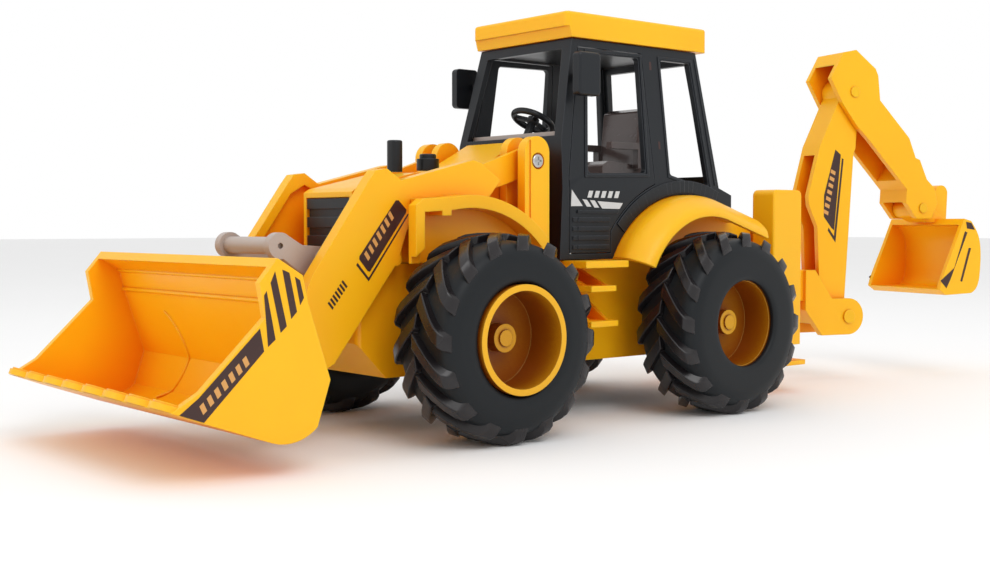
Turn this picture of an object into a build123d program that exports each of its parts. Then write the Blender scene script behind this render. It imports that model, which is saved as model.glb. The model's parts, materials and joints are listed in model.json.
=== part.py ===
# Toy backhoe loader: loader bucket at the front (-Y), backhoe at the rear (+Y), +Z up, +X is the
# machine's own left side. Millimetres. The origin is on the ground under the middle of the length.
import os
from math import cos, radians, sin, sqrt

from build123d import *

os.makedirs("parts", exist_ok=True)

# ---------------------------------------------------------------- driving dimensions
front_axle_y = -89.07     # sets the middle of the overall length on the origin
wheelbase = 106.6
tyre_radius = 33.0
tyre_width = 26.6
track_half = 61.0         # middle of the machine to the outer face of a tyre
rim_radius = 17.2
rim_wall = 2.0
dish_depth = 15.0
axle_radius = 1.5

wall = 2.0
fit = 0.3                 # between pieces that are put together or pass each other
tyre_clearance = 1.0      # between a turning tyre and the bodywork
running = 0.05            # radial clearance of a shaft in its bore
pressed = 0.02            # radial clearance of a pressed or screwed shaft

chassis_half = 21.4
axle_above_floor = 13.5
chassis_floor = tyre_radius - axle_above_floor
chassis_top = 56.0
chassis_front = -35.0     # measured back from the front axle, like every length in the side plane
chassis_rear = 156.0
axle_boss_length = 8.0

bonnet_half = 14.5
cowl_half = 17.4
shoulder_top = 75.5
cowl_top = 97.5

front_fender_radius = 45.0
rear_fender_outer = 44.0
rear_fender_radius = 41.5
rear_fender_edge_radius = 33.5
rear_arch_lift = 5.0      # centre of the rear arch above the axle

tower_front = 26.5
tower_depth = 11.0
tower_top = 98.4
arm_pivot_y = 32.4
arm_pivot_z = 90.0
arm_gap = 0.5             # between the chassis side and an arm
arm_inner = chassis_half + arm_gap
arm_thick = 4.8
pivot_radius = 1.5

bucket_half = 57.5
bucket_wall = 2.4
bucket_pivot_y = -60.0
bucket_pivot_z = 27.0
lever_pivot_y = -44.0
lever_pivot_z = 57.5
handle_y = -59.6
handle_z = 62.0

cab_half = 30.0
cab_top_half = 25.0
cab_waist = 81.0
cab_top = 134.0
cab_wall = 2.2
roof_half = 26.2
roof_height = 9.0

kingpost_y = 197.0
kingpost_radius = 2.0
slew_angle = 16.0         # the backhoe is stored swung this far to the left
boom_half = 6.2
dipper_half = 9.0
foot_reach = 34.2
foot_z = 28.0
boom_head_reach = 37.0
boom_head_z = 127.0
wrist_reach = 76.0
wrist_z = 76.0
digger_half = 24.0
backhoe_pin_radius = 2.0

gear_module = 0.8
large_teeth = 24
small_teeth = 10
gear_train_angle = 30.0   # rise of the line from the rear axle to the middle gear

rear_axle_y = front_axle_y + wheelbase
cab_floor = chassis_top + fit
arm_outer = arm_inner + arm_thick
tower_cheek = 4.3         # of the tower outside the arm
tower_outer = arm_outer + tower_cheek
fender_reach = 5.0        # of the front fender outside the tower
fender_outer = tower_outer + fender_reach

# ---------------------------------------------------------------- planes
# In the side plane x runs back from the front axle and y is height; in the top plane y runs back.
side = Plane(origin=(0, front_axle_y, 0), x_dir=(0, 1, 0), z_dir=(1, 0, 0))
top = Plane(origin=(0, front_axle_y, 0), x_dir=(1, 0, 0), z_dir=(0, 0, 1))
slew = radians(slew_angle)
# The backhoe's own side plane: x runs out from the kingpost, z_dir points to its left.
swing = Plane(origin=(0, front_axle_y + kingpost_y, 0), x_dir=(sin(slew), cos(slew), 0),
              z_dir=(cos(slew), -sin(slew), 0))
swing_top = Plane(origin=(0, front_axle_y + kingpost_y, 0), x_dir=(sin(slew), cos(slew), 0),
                  z_dir=(0, 0, 1))


def front_view(back):
    """Plane across the machine, a length behind the front axle: x is the machine's x, y is height."""
    return Plane(origin=(0, front_axle_y + back, 0), x_dir=(1, 0, 0), z_dir=(0, -1, 0))


def wheel_plane(axle_y):
    """Plane through an axle, across the machine: x is the machine's x, y is the radius upward."""
    return Plane(origin=(0, axle_y, tyre_radius), x_dir=(1, 0, 0), z_dir=(0, -1, 0))


def save(part, node):
    part.label = node
    export_step(part, f"parts/{node}.step")


def save_pair(part, node):
    save(part, f"{node}_left")
    save(mirror(part, about=Plane.YZ), f"{node}_right")


# ---------------------------------------------------------------- wheels and axles
lug_count = 16
lug_height = 2.4
lug_width = 4.2
lug_slant = 38.0
lug_length = tyre_width / 2 / cos(radians(lug_slant))
carcass_radius = tyre_radius - lug_height
tyre_middle = track_half - tyre_width / 2
hub_radius = 4.5
hub_length = 6.0
web_x = track_half - dish_depth


def make_tyre(axle_y, lip):
    """Left tyre: carcass with rounded shoulders and two rows of slanted lugs. lip covers the rim ring."""
    axis = Axis((0, axle_y, tyre_radius), (1, 0, 0))
    with BuildPart() as tyre:
        with BuildSketch(wheel_plane(axle_y)) as carcass:
            with Locations((tyre_middle, (rim_radius + fit + carcass_radius) / 2)):
                Rectangle(tyre_width, carcass_radius - rim_radius - fit)
            fillet(carcass.vertices().group_by(Axis.Y)[-1], radius=6.0)
        revolve(axis=axis)
        for side_sign, phase in ((1, 0), (-1, 180 / lug_count)):
            lug_plane = Plane(origin=(tyre_middle, axle_y, tyre_radius), x_dir=(0, 1, 0),
                              z_dir=(side_sign, 0, 0))
            with Locations(lug_plane):
                with PolarLocations(tyre_radius - lug_height / 2, lug_count, phase):
                    Box(lug_height + 1.4, lug_width, lug_length, rotation=(lug_slant, 0, 0),
                        align=(Align.CENTER, Align.CENTER, Align.MIN))
        with Locations(Plane(origin=(tyre_middle, axle_y, tyre_radius), z_dir=(1, 0, 0))):
            Cylinder(tyre_radius, tyre_width, mode=Mode.INTERSECT)
            Cylinder(rim_radius + fit, 2 * tyre_width, mode=Mode.SUBTRACT)
        if lip > 0:
            with BuildSketch(wheel_plane(axle_y)) as lip_ring:
                with Locations((track_half - 1.2, rim_radius + fit - lip / 2)):
                    Rectangle(2.4, lip + 1.0)
            revolve(axis=axis)
    return tyre.part


def make_rim(axle_y, ring_x):
    """Left rim: deep dish with an outer ring at ring_x, a web and a hub pressed on the axle."""
    axis = Axis((0, axle_y, tyre_radius), (1, 0, 0))
    barrel_start = track_half - tyre_width + 2.0
    with BuildPart() as rim:
        with BuildSketch(wheel_plane(axle_y)) as profile:
            with Locations(((barrel_start + ring_x) / 2, rim_radius - rim_wall / 2)):
                Rectangle(ring_x - barrel_start, rim_wall)
            with Locations((web_x, rim_radius / 2)):
                Rectangle(rim_wall, rim_radius - 0.5)
            with Locations((web_x + hub_length / 2, hub_radius / 2)):
                Rectangle(hub_length, hub_radius)
        revolve(axis=axis)
        with Locations(Plane(origin=(web_x, axle_y, tyre_radius), z_dir=(1, 0, 0))):
            Cylinder(axle_radius + pressed, 4 * hub_length, mode=Mode.SUBTRACT)
    return rim.part


def make_axle(axle_y):
    with BuildPart(Plane(origin=(0, axle_y, tyre_radius), z_dir=(1, 0, 0))) as axle:
        Cylinder(axle_radius, 2 * (web_x + hub_length))
        chamfer(axle.edges().filter_by(GeomType.CIRCLE), length=0.3)
    return axle.part


for end, axle_y, ring_x, lip in (("front", front_axle_y, track_half + 0.6, 0.0),
                                 ("rear", rear_axle_y, track_half - 2.4 - fit, 2.0)):
    save_pair(make_tyre(axle_y, lip), f"{end}_tyre")
    save_pair(make_rim(axle_y, ring_x), f"{end}_rim")
    save(make_axle(axle_y), f"{end}_axle")

# ---------------------------------------------------------------- friction drive
pitch_sum = gear_module * (large_teeth + small_teeth) / 2
train = radians(gear_train_angle)
middle_y = wheelbase - pitch_sum * cos(train)
middle_z = tyre_radius + pitch_sum * sin(train)
flywheel_y = middle_y - pitch_sum
flywheel_z = middle_z
first_stage_x = 3.0       # middle of the axle gear and of the middle gear's pinion
second_stage_x = -2.5     # middle of the middle gear's wheel and of the flywheel pinion
gear_face = 3.0
flywheel_x = 11.8
flywheel_radius = 11.6
flywheel_width = 6.0
shaft_radius = 1.0
case_left = 17.2
case_right = -8.0
case_wall = 1.6


def add_gear(back, height, across, face, teeth, phase):
    """Spur gear with straight-sided teeth in the side plane; a tooth stands at the angle phase."""
    pitch_radius = gear_module * teeth / 2
    root_radius = pitch_radius - 1.15 * gear_module
    tip_radius = pitch_radius + 0.85 * gear_module
    root_half = 0.50 * gear_module
    tip_half = 0.26 * gear_module
    with BuildSketch(side.offset(across - face / 2)) as gear_sketch:
        with Locations((back, height)):
            Circle(root_radius)
            with PolarLocations(0, teeth, phase):
                Polygon((root_radius - 0.4, -root_half * 1.5), (pitch_radius, -root_half * 1.15),
                        (tip_radius, -tip_half), (tip_radius, tip_half),
                        (pitch_radius, root_half * 1.15), (root_radius - 0.4, root_half * 1.5),
                        align=None)
    extrude(gear_sketch.sketch, amount=face)


def cut_shaft_hole(back, height, radius):
    with BuildSketch(side) as hole:
        with Locations((back, height)):
            Circle(radius)
    extrude(hole.sketch, amount=2 * track_half, both=True, mode=Mode.SUBTRACT)


train_direction = 180 - gear_train_angle     # from the axle towards the middle gear
with BuildPart() as axle_gear:
    add_gear(wheelbase, tyre_radius, first_stage_x, gear_face, large_teeth, train_direction)
    cut_shaft_hole(wheelbase, tyre_radius, axle_radius + pressed)
save(axle_gear.part, "axle_gear")

with BuildPart() as middle_gear:
    add_gear(middle_y, middle_z, first_stage_x, gear_face + 1.5, small_teeth,
             train_direction + 180 + 180 / small_teeth)
    add_gear(middle_y, middle_z, second_stage_x, gear_face, large_teeth, 180)
    with BuildSketch(side.offset(second_stage_x)) as sleeve:
        with Locations((middle_y, middle_z)):
            Circle(gear_module * small_teeth / 2 - 1.3 * gear_module)
    extrude(amount=first_stage_x - second_stage_x)
    with BuildSketch(side.offset(case_right - case_wall / 2)) as middle_shaft:
        with Locations((middle_y, middle_z)):
            Circle(shaft_radius)
    extrude(amount=case_left - case_right + case_wall)
save(middle_gear.part, "middle_gear")

with BuildPart() as flywheel:
    with BuildSketch(side.offset(case_right - case_wall / 2)) as flywheel_shaft:
        with Locations((flywheel_y, flywheel_z)):
            Circle(shaft_radius)
    extrude(amount=case_left - case_right + case_wall)
    with BuildSketch(side.offset(flywheel_x - flywheel_width / 2)) as disc:
        with Locations((flywheel_y, flywheel_z)):
            Circle(flywheel_radius)
    extrude(amount=flywheel_width)
    chamfer(flywheel.edges().filter_by(GeomType.CIRCLE).sort_by(SortBy.RADIUS)[-2:], length=0.6)
save(flywheel.part, "flywheel")

with BuildPart() as flywheel_pinion:
    add_gear(flywheel_y, flywheel_z, second_stage_x, gear_face + 1.5, small_teeth, 180 / small_teeth)
    cut_shaft_hole(flywheel_y, flywheel_z, shaft_radius + pressed)
save(flywheel_pinion.part, "flywheel_pinion")

# ---------------------------------------------------------------- chassis
cover_front = -16.0
cover_rear = 146.0
cover_thick = 1.8
case_front = flywheel_y - flywheel_radius - 3.0
case_back = wheelbase + gear_module * (large_teeth / 2 + 1) + 3.0
case_floor = chassis_floor + cover_thick + fit
case_top = chassis_top - wall - fit
post_places = ((15, 14), (-15, 14), (15, 132), (-15, 132))
screw_radius = 1.1
screw_head_radius = 2.4

with BuildPart() as chassis_tub:
    with BuildSketch(side) as hull:
        Polygon((chassis_front, 31), (chassis_front + 11, chassis_floor), (148, chassis_floor),
                (chassis_rear, 27), (chassis_rear, chassis_top), (chassis_front, chassis_top), align=None)
    extrude(amount=chassis_half, both=True)
    fillet(chassis_tub.edges().filter_by(Axis.Z), radius=2.0)
    with BuildSketch(side) as hollow:
        add(offset(hull.sketch_local, amount=-wall, kind=Kind.INTERSECTION, mode=Mode.PRIVATE))
    extrude(amount=chassis_half - wall, both=True, mode=Mode.SUBTRACT)
    with BuildSketch(top.offset(chassis_floor - 1)) as belly_opening:
        with Locations((0, (cover_front + cover_rear) / 2)):
            Rectangle(2 * (chassis_half - wall), cover_rear - cover_front)
    extrude(amount=wall + 2, mode=Mode.SUBTRACT)
    for across in (chassis_half, -chassis_half - axle_boss_length):
        with BuildSketch(side.offset(across)) as axle_bosses:
            with Locations((0, tyre_radius), (wheelbase, tyre_radius)):
                Circle(5.5)
        extrude(amount=axle_boss_length)
    with BuildSketch(top.offset(chassis_floor + cover_thick)) as posts:
        with Locations(*post_places):
            Circle(3.2)
    extrude(amount=chassis_top - wall / 2 - chassis_floor - cover_thick)
    with BuildSketch(top.offset(chassis_floor)) as pilot_holes:
        with Locations(*post_places):
            Circle(screw_radius + pressed)
    extrude(amount=14, mode=Mode.SUBTRACT)
    with BuildSketch(side) as axle_bores:
        with Locations((0, tyre_radius), (wheelbase, tyre_radius)):
            Circle(axle_radius + running)
    extrude(amount=track_half, both=True, mode=Mode.SUBTRACT)
save(chassis_tub.part, "chassis_tub")

with BuildPart() as chassis_cover:
    with BuildSketch(top.offset(chassis_floor)) as cover_outline:
        with Locations((0, (cover_front + cover_rear) / 2)):
            RectangleRounded(2 * (chassis_half - wall) - fit, cover_rear - cover_front - fit, 1.5)
    extrude(amount=cover_thick)
    with BuildSketch(top.offset(chassis_floor)) as cover_holes:
        with Locations(*post_places):
            Circle(screw_radius + fit)
    extrude(amount=cover_thick, mode=Mode.SUBTRACT)
    with BuildSketch(top.offset(chassis_floor)) as head_recess:
        with Locations(*post_places):
            Circle(screw_head_radius + fit)
    extrude(amount=0.9, mode=Mode.SUBTRACT)
save(chassis_cover.part, "chassis_cover")

with BuildPart() as chassis_screws:
    with BuildSketch(top.offset(chassis_floor + 0.1)) as heads:
        with Locations(*post_places):
            Circle(screw_head_radius)
    extrude(amount=0.7)
    with BuildSketch(top.offset(chassis_floor + 0.2)) as shanks:
        with Locations(*post_places):
            Circle(screw_radius)
    extrude(amount=11)
    with BuildSketch(top.offset(chassis_floor)) as slots:
        with Locations(*post_places):
            Rectangle(2.6, 0.6)
            Rectangle(0.6, 2.6)
    extrude(amount=0.5, mode=Mode.SUBTRACT)
save(chassis_screws.part, "chassis_screws")

with BuildPart() as motor_case:
    with BuildSketch(side.offset(case_right - case_wall)) as case_outline:
        Polygon((case_front, case_floor), (case_back, case_floor), (case_back, case_top - 6),
                (case_back - 8, case_top), (case_front, case_top), align=None)
    extrude(amount=case_left - case_right + 2 * case_wall)
    with BuildSketch(side.offset(case_right)) as case_hollow:
        Polygon((case_front + case_wall, case_floor - 1), (case_back - case_wall, case_floor - 1),
                (case_back - case_wall, case_top - case_wall - 6), (case_back - 9, case_top - case_wall),
                (case_front + case_wall, case_top - case_wall), align=None)
    extrude(amount=case_left - case_right, mode=Mode.SUBTRACT)
    cut_shaft_hole(wheelbase, tyre_radius, axle_radius + 2 * running)
    cut_shaft_hole(middle_y, middle_z, shaft_radius + running)
    cut_shaft_hole(flywheel_y, flywheel_z, shaft_radius + running)
save(motor_case.part, "motor_case")

# ---------------------------------------------------------------- front body
bonnet_front = -32.0
shoulder_front = -25.7
shoulder_back = tower_front - 5.0
cowl_back = 43.0
grille_low = 61.5
grille_high = 77.0
grille_half = 12.6
slat_count = 3
slat_height = 3.4
grille_depth = 2.2

with BuildPart() as front_body:
    with BuildSketch(side) as bonnet_outline:
        Polygon((bonnet_front, cab_floor), (bonnet_front, 79), (bonnet_front + 2, 80.3), (-7, 85.6),
                (14, 87), (24, 90), (38, cowl_top), (cowl_back, cowl_top), (cowl_back, cab_floor),
                align=None)
    extrude(amount=bonnet_half, both=True)
    with BuildSketch(side) as cowl_outline:
        Polygon((shoulder_back, cab_floor), (shoulder_back, 84), (38, 93.5), (cowl_back, 93.5),
                (cowl_back, cab_floor), align=None)
    extrude(amount=cowl_half, both=True)
    with BuildSketch(side) as shoulder_outline:
        Polygon((shoulder_front, cab_floor), (shoulder_front, shoulder_top),
                (shoulder_back, shoulder_top), (shoulder_back, cab_floor), align=None)
    extrude(amount=chassis_half, both=True)
    with BuildSketch(side) as bonnet_hollow:
        Polygon((bonnet_front + grille_depth + wall, cab_floor - 1),
                (bonnet_front + grille_depth + wall, 77.6), (-7, 83.4), (14, 84.8), (24, 87.8),
                (37, cowl_top - wall), (cowl_back - wall, cowl_top - wall),
                (cowl_back - wall, cab_floor - 1), align=None)
    extrude(amount=bonnet_half - wall, both=True, mode=Mode.SUBTRACT)
    with BuildSketch(side) as shoulder_hollow:
        Polygon((shoulder_front + wall, cab_floor - 1), (shoulder_front + wall, shoulder_top - wall),
                (shoulder_back - wall, shoulder_top - wall), (shoulder_back - wall, cab_floor - 1),
                align=None)
    extrude(amount=chassis_half - wall, both=True, mode=Mode.SUBTRACT)
    with BuildSketch(front_view(bonnet_front)) as grille_recess:
        with Locations((0, (grille_low + grille_high) / 2)):
            Rectangle(2 * (grille_half + fit), grille_high - grille_low + 2 * fit)
    extrude(amount=-grille_depth, mode=Mode.SUBTRACT)
save(front_body.part, "front_body")

with BuildPart() as grille:
    with BuildSketch(front_view(bonnet_front + grille_depth - fit)) as grille_back:
        with Locations((0, (grille_low + grille_high) / 2)):
            Rectangle(2 * grille_half, grille_high - grille_low)
    extrude(amount=0.8)
    with BuildSketch(front_view(bonnet_front + grille_depth - fit - 0.8)) as slats:
        for row in range(slat_count):
            slat_pitch = (grille_high - grille_low - slat_height) / (slat_count - 1)
            with Locations((0, grille_low + slat_height / 2 + row * slat_pitch)):
                Rectangle(2 * grille_half, slat_height)
    extrude(amount=0.9)
save(grille.part, "grille")

stack_y = -5.0
cleaner_y = 9.0
stack_radius = 2.6
stack_top = 97.0
with BuildPart() as exhaust_stack:
    with BuildSketch(top.offset(86.3)) as stack_outline:
        with Locations((0, stack_y)):
            Circle(stack_radius)
    extrude(amount=stack_top - 86.3)
    fillet(exhaust_stack.edges().sort_by(Axis.Z)[-1], radius=0.6)
    with BuildSketch(top.offset(stack_top)) as stack_bore:
        with Locations((0, stack_y)):
            Circle(stack_radius - 1.0)
    extrude(amount=-3.0, mode=Mode.SUBTRACT)
save(exhaust_stack.part, "exhaust_stack")

with BuildPart() as air_precleaner:
    with BuildSketch(top.offset(87.1)) as cleaner_base:
        with Locations((0, cleaner_y)):
            Circle(3.9)
    extrude(amount=4.0)
    with BuildSketch(top.offset(91.1)) as cleaner_top:
        with Locations((0, cleaner_y)):
            Circle(2.9)
    extrude(amount=1.7)
    fillet(air_precleaner.edges().filter_by(GeomType.CIRCLE).group_by(Axis.Z)[-1], radius=0.5)
save(air_precleaner.part, "air_precleaner")

# ---------------------------------------------------------------- fenders and steps
fender_thick = 4.2
arch_end_angle = 43.0     # above the horizontal, behind the front axle
fender_inner = arm_outer + 0.5      # the loader arm passes between the bonnet and the fender
fender_front = -22.6
fender_column = 3.4       # depth of the front edge, which stands only under the outer lip
fender_lip = 4.0
fender_seat_front = -10.0
fender_seat_back = 19.0
with BuildPart() as front_fender:
    with BuildSketch(side.offset(fender_inner)) as fender_profile:
        with BuildLine() as fender_line:
            end = radians(arch_end_angle)
            lead = radians(100.0)
            inner_radius = front_fender_radius - fender_thick
            outer_lead = (front_fender_radius * cos(lead), tyre_radius + front_fender_radius * sin(lead))
            outer_end = (front_fender_radius * cos(end), tyre_radius + front_fender_radius * sin(end))
            inner_end = (inner_radius * cos(end), tyre_radius + inner_radius * sin(end))
            inner_lead = (inner_radius * cos(lead), tyre_radius + inner_radius * sin(lead))
            middle = (end + lead) / 2
            ThreePointArc(outer_end, (front_fender_radius * cos(middle),
                                      tyre_radius + front_fender_radius * sin(middle)), outer_lead)
            Polyline(outer_lead, (fender_front + 3, 76.6), (fender_front, 74.5),
                     (fender_front, cab_floor), (fender_front + fender_column, cab_floor),
                     (fender_front + fender_column, 72.4), inner_lead)
            ThreePointArc(inner_lead, (inner_radius * cos(middle),
                                       tyre_radius + inner_radius * sin(middle)), inner_end)
            Line(inner_end, outer_end)
        make_face()
    extrude(amount=fender_outer - fender_inner)
    with BuildSketch(side.offset(fender_inner)) as fender_tab:
        with Locations((-10.5, 72.8)):
            Rectangle(3.6, 3.0)
    extrude(amount=fender_outer - fender_inner)
    with BuildSketch(side.offset(fender_inner)) as fender_panel:
        Polygon((fender_front + fender_column + 2, cab_floor), (fender_front + fender_column + 2, 74),
                (-8, 74.9), (12, 73.9), (tower_front - fit, 65), (tower_front - fit, cab_floor),
                align=None)
    extrude(amount=1.6)
    with BuildSketch(side.offset(fender_inner - 1)) as column_room:
        with Locations((fender_front, (cab_floor + tower_top) / 2)):
            Rectangle(2 * fender_column + 2, tower_top - cab_floor + 2)
    extrude(amount=fender_outer - fender_lip - fender_inner + 1, mode=Mode.SUBTRACT)
    with BuildSketch(side.offset(chassis_half + fit)) as fender_seat:
        Polygon((fender_seat_front, cab_floor), (fender_seat_front, cab_floor + wall),
                (fender_seat_back, cab_floor + wall), (fender_seat_back, cab_floor), align=None)
    extrude(amount=fender_inner - chassis_half)
    with BuildSketch(side.offset(chassis_half)) as tower_notch:
        Polygon((tower_front - fit, cab_floor - 1), (tower_front - fit, tower_top),
                (front_fender_radius, tower_top), (front_fender_radius, cab_floor - 1), align=None)
    extrude(amount=tower_outer + fit - chassis_half, mode=Mode.SUBTRACT)
    with BuildSketch(side.offset(track_half - tyre_width - tyre_clearance)) as tyre_room:
        with Locations((0, tyre_radius)):
            Circle(tyre_radius + tyre_clearance)
    extrude(amount=fender_outer, mode=Mode.SUBTRACT)
save_pair(front_fender.part, "front_fender")

arch_centre_z = tyre_radius + rear_arch_lift
tail_angle = 16.7
tail_length = 24.0
front_sweep = 63.0
rear_shell = 1.8
fender_profile_plane = Plane(
    origin=(0, rear_axle_y, arch_centre_z), x_dir=(1, 0, 0),
    z_dir=(0, -cos(radians(tail_angle)), sin(radians(tail_angle))))
with BuildPart() as rear_fender:
    with BuildSketch(fender_profile_plane) as fender_section:
        with BuildLine() as section_line:
            outer_top = rear_fender_radius
            inner_top = rear_fender_radius - rear_shell
            flat_end = cab_half + 3.0
            Polyline((chassis_half + fit, inner_top), (chassis_half + fit, outer_top),
                     (flat_end, outer_top))
            Spline((flat_end, outer_top), (flat_end + 7.4, outer_top - 3.0),
                   (rear_fender_outer, rear_fender_edge_radius), tangents=((1, 0), (0.15, -1)))
            Line((rear_fender_outer, rear_fender_edge_radius),
                 (rear_fender_outer - rear_shell, rear_fender_edge_radius))
            Spline((rear_fender_outer - rear_shell, rear_fender_edge_radius),
                   (flat_end + 6.2, outer_top - 4.6), (flat_end - 0.6, inner_top),
                   tangents=((-0.15, 1), (-1, 0)))
            Line((flat_end - 0.6, inner_top), (chassis_half + fit, inner_top))
        make_face()
    revolve(axis=Axis((0, rear_axle_y, arch_centre_z), (1, 0, 0)),
            revolution_arc=tail_angle + front_sweep)
    extrude(fender_section.sketch, amount=-tail_length)
save_pair(rear_fender.part, "rear_fender")

step_front = 45.5
step_back = 62.0
step_outer = 41.0
sill_z = 53.6
with BuildPart() as side_step:
    with BuildSketch(side.offset(chassis_half + fit)) as step_panel:
        Polygon((step_front, sill_z), (step_front, sill_z + 2.4), (66, sill_z + 2.4), (66, sill_z),
                (step_back, sill_z), (step_back, 33), (step_front + 3, 33), (step_front + 3, sill_z),
                align=None)
    extrude(amount=2.2)
    with BuildSketch(side.offset(chassis_half + fit)) as treads:
        Polygon((step_front, sill_z), (step_front, sill_z + 2.4), (66, sill_z + 2.4), (66, sill_z),
                align=None)
        Polygon((step_front + 2.5, 45.4), (step_front + 2.5, 47.4), (step_back - 2, 47.4),
                (step_back - 2, 45.4), align=None)
        Polygon((step_front + 2.5, 33.2), (step_front + 2.5, 35.2), (step_back - 1, 35.2),
                (step_back - 1, 33.2), align=None)
    extrude(amount=step_outer - chassis_half - fit)
    for gusset_y in (step_front + 3.0, step_back - 4.5):
        with BuildSketch(front_view(gusset_y)) as gusset:
            Polygon((chassis_half + fit, 35), (chassis_half + fit, 45.6), (step_outer - 2, 35),
                    align=None)
            Polygon((chassis_half + fit, 47), (chassis_half + fit, 53.8), (step_outer - 3, 47),
                    align=None)
        extrude(amount=-1.6)
save_pair(side_step.part, "side_step")

# ---------------------------------------------------------------- loader towers and arms
cheek_inner = arm_outer + fit + 0.2
tower_inner = cowl_half + 0.5
inner_cheek_outer = arm_inner - fit - 0.2
tower_rear = tower_front + tower_depth
dome_radius = tower_depth / 2
dome_y = tower_front + dome_radius
dome_z = tower_top - dome_radius
with BuildPart() as loader_tower:
    for cheek_from, cheek_to in ((cheek_inner, tower_outer), (tower_inner, inner_cheek_outer)):
        with BuildSketch(side.offset(cheek_from)) as cheek:
            Polygon((tower_front, cab_floor), (tower_rear, cab_floor), (tower_rear, dome_z),
                    (tower_front, dome_z), align=None)
            with Locations((dome_y, dome_z)):
                Circle(dome_radius)
        extrude(amount=cheek_to - cheek_from)
    with BuildSketch(side.offset(tower_inner)) as tower_web:
        Polygon((tower_rear - 1.8, cab_floor), (tower_rear, cab_floor), (tower_rear, 78),
                (tower_rear - 1.8, 78), align=None)
        Polygon((tower_front, cab_floor), (tower_rear, cab_floor), (tower_rear, 60),
                (tower_front, 60), align=None)
    extrude(amount=tower_outer - tower_inner)
    with BuildSketch(side.offset(tower_outer - 0.5)) as cheek_groove:
        with Locations((tower_front + 2.2, (cab_floor + dome_z) / 2 + 4)):
            Rectangle(0.9, dome_z - cab_floor)
    extrude(amount=1, mode=Mode.SUBTRACT)
    with BuildSketch(side.offset(tower_inner - 1)) as pivot_bore:
        with Locations((arm_pivot_y, arm_pivot_z)):
            Circle(pivot_radius + pressed)
    extrude(amount=tower_outer, mode=Mode.SUBTRACT)
    with BuildSketch(side.offset(tower_outer - 1.2)) as head_counterbore:
        with Locations((arm_pivot_y, arm_pivot_z)):
            Circle(2.8)
    extrude(amount=2, mode=Mode.SUBTRACT)
save_pair(loader_tower.part, "loader_tower")

with BuildPart() as pivot_screws:
    with BuildSketch(side.offset(tower_inner + 0.2)) as screw_shank:
        with Locations((arm_pivot_y, arm_pivot_z)):
            Circle(pivot_radius)
    extrude(amount=tower_outer - 1.0 - tower_inner)
    with BuildSketch(side.offset(tower_outer - 1.1)) as screw_head:
        with Locations((arm_pivot_y, arm_pivot_z)):
            Circle(2.4)
    extrude(amount=1.3)
    fillet(pivot_screws.edges().filter_by(GeomType.CIRCLE).group_by(Axis.X)[-1], radius=0.6)
    with BuildSketch(side.offset(tower_outer - 0.3)) as screw_cross:
        with Locations((arm_pivot_y, arm_pivot_z)):
            Rectangle(2.8, 0.6)
            Rectangle(0.6, 2.8)
    extrude(amount=1, mode=Mode.SUBTRACT)
    mirror(about=Plane.YZ)
save(pivot_screws.part, "pivot_screws")

arm_tip_radius = 5.6
arm_tongue_thick = 2.4    # the thin end between the tower's cheeks
rod_radius = 1.5
tube_y = -46.0
tube_z = 38.0
tube_radius = 2.6
socket_depth = 2.0
with BuildPart() as loader_arm:
    with BuildSketch(side.offset(arm_inner)) as arm_plate:
        Polygon((bucket_pivot_y - arm_tip_radius, bucket_pivot_z + 1), (-54.5, 53), (-33.6, 82.4),
                (-31.2, 85.4), (-27, 86), (-21.5, 82.4), (7.7, 89.7), (11.2, 88.8), (19.3, 83.3),
                (14.7, 77.9), (-10, 70.4), (-17.6, 71.6), (-22.8, 57), (-46.8, 26),
                (bucket_pivot_y + 3, bucket_pivot_z - arm_tip_radius), align=None)
        with Locations((bucket_pivot_y, bucket_pivot_z)):
            Circle(arm_tip_radius)
        with Locations((-23.4, 57.4)):
            Circle(2.0)
    extrude(amount=arm_thick)
    fillet(loader_arm.edges().filter_by(Axis.X).sort_by(Axis.Z)[-9:-5], radius=1.2)
    with BuildSketch(side.offset(arm_inner + 0.3)) as arm_tongue:
        Polygon((6, 86), (arm_pivot_y - 1.6, arm_pivot_z + 4.5), (arm_pivot_y + 1.8, arm_pivot_z - 4.5),
                (10, 78), align=None)
        with Locations((arm_pivot_y, arm_pivot_z)):
            Circle(4.8)
    extrude(amount=arm_tongue_thick)
    with BuildSketch(side.offset(arm_inner)) as inner_pocket:
        Polygon((-51.6, 52), (-32.4, 79), (-27, 82), (-21.6, 79.6), (-21, 70), (-26, 57), (-45, 33),
                (-52, 36), align=None)
    extrude(amount=arm_thick - 2.2, mode=Mode.SUBTRACT)
    with BuildSketch(side.offset(arm_inner)) as arm_eyes:
        with Locations((lever_pivot_y, lever_pivot_z), (tube_y, tube_z)):
            Circle(4.0)
    extrude(amount=arm_thick - 1)
    cut_shaft_hole(arm_pivot_y, arm_pivot_z, pivot_radius + running)
    cut_shaft_hole(bucket_pivot_y, bucket_pivot_z, rod_radius + pressed)
    with BuildSketch(side.offset(arm_inner - 1)) as blind_sockets:
        with Locations((tube_y, tube_z)):
            Circle(tube_radius + pressed)
        with Locations((lever_pivot_y, lever_pivot_z)):
            Circle(rod_radius + pressed)
    extrude(amount=1 + socket_depth, mode=Mode.SUBTRACT)
save_pair(loader_arm.part, "loader_arm")


def cross_rod(back, height, half_length, radius):
    """Round bar across the machine in the side plane's place."""
    with BuildPart() as rod:
        with BuildSketch(side.offset(-half_length)):
            with Locations((back, height)):
                Circle(radius)
        extrude(amount=2 * half_length)
        chamfer(rod.edges().filter_by(GeomType.CIRCLE), length=0.25)
    return rod.part


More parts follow.
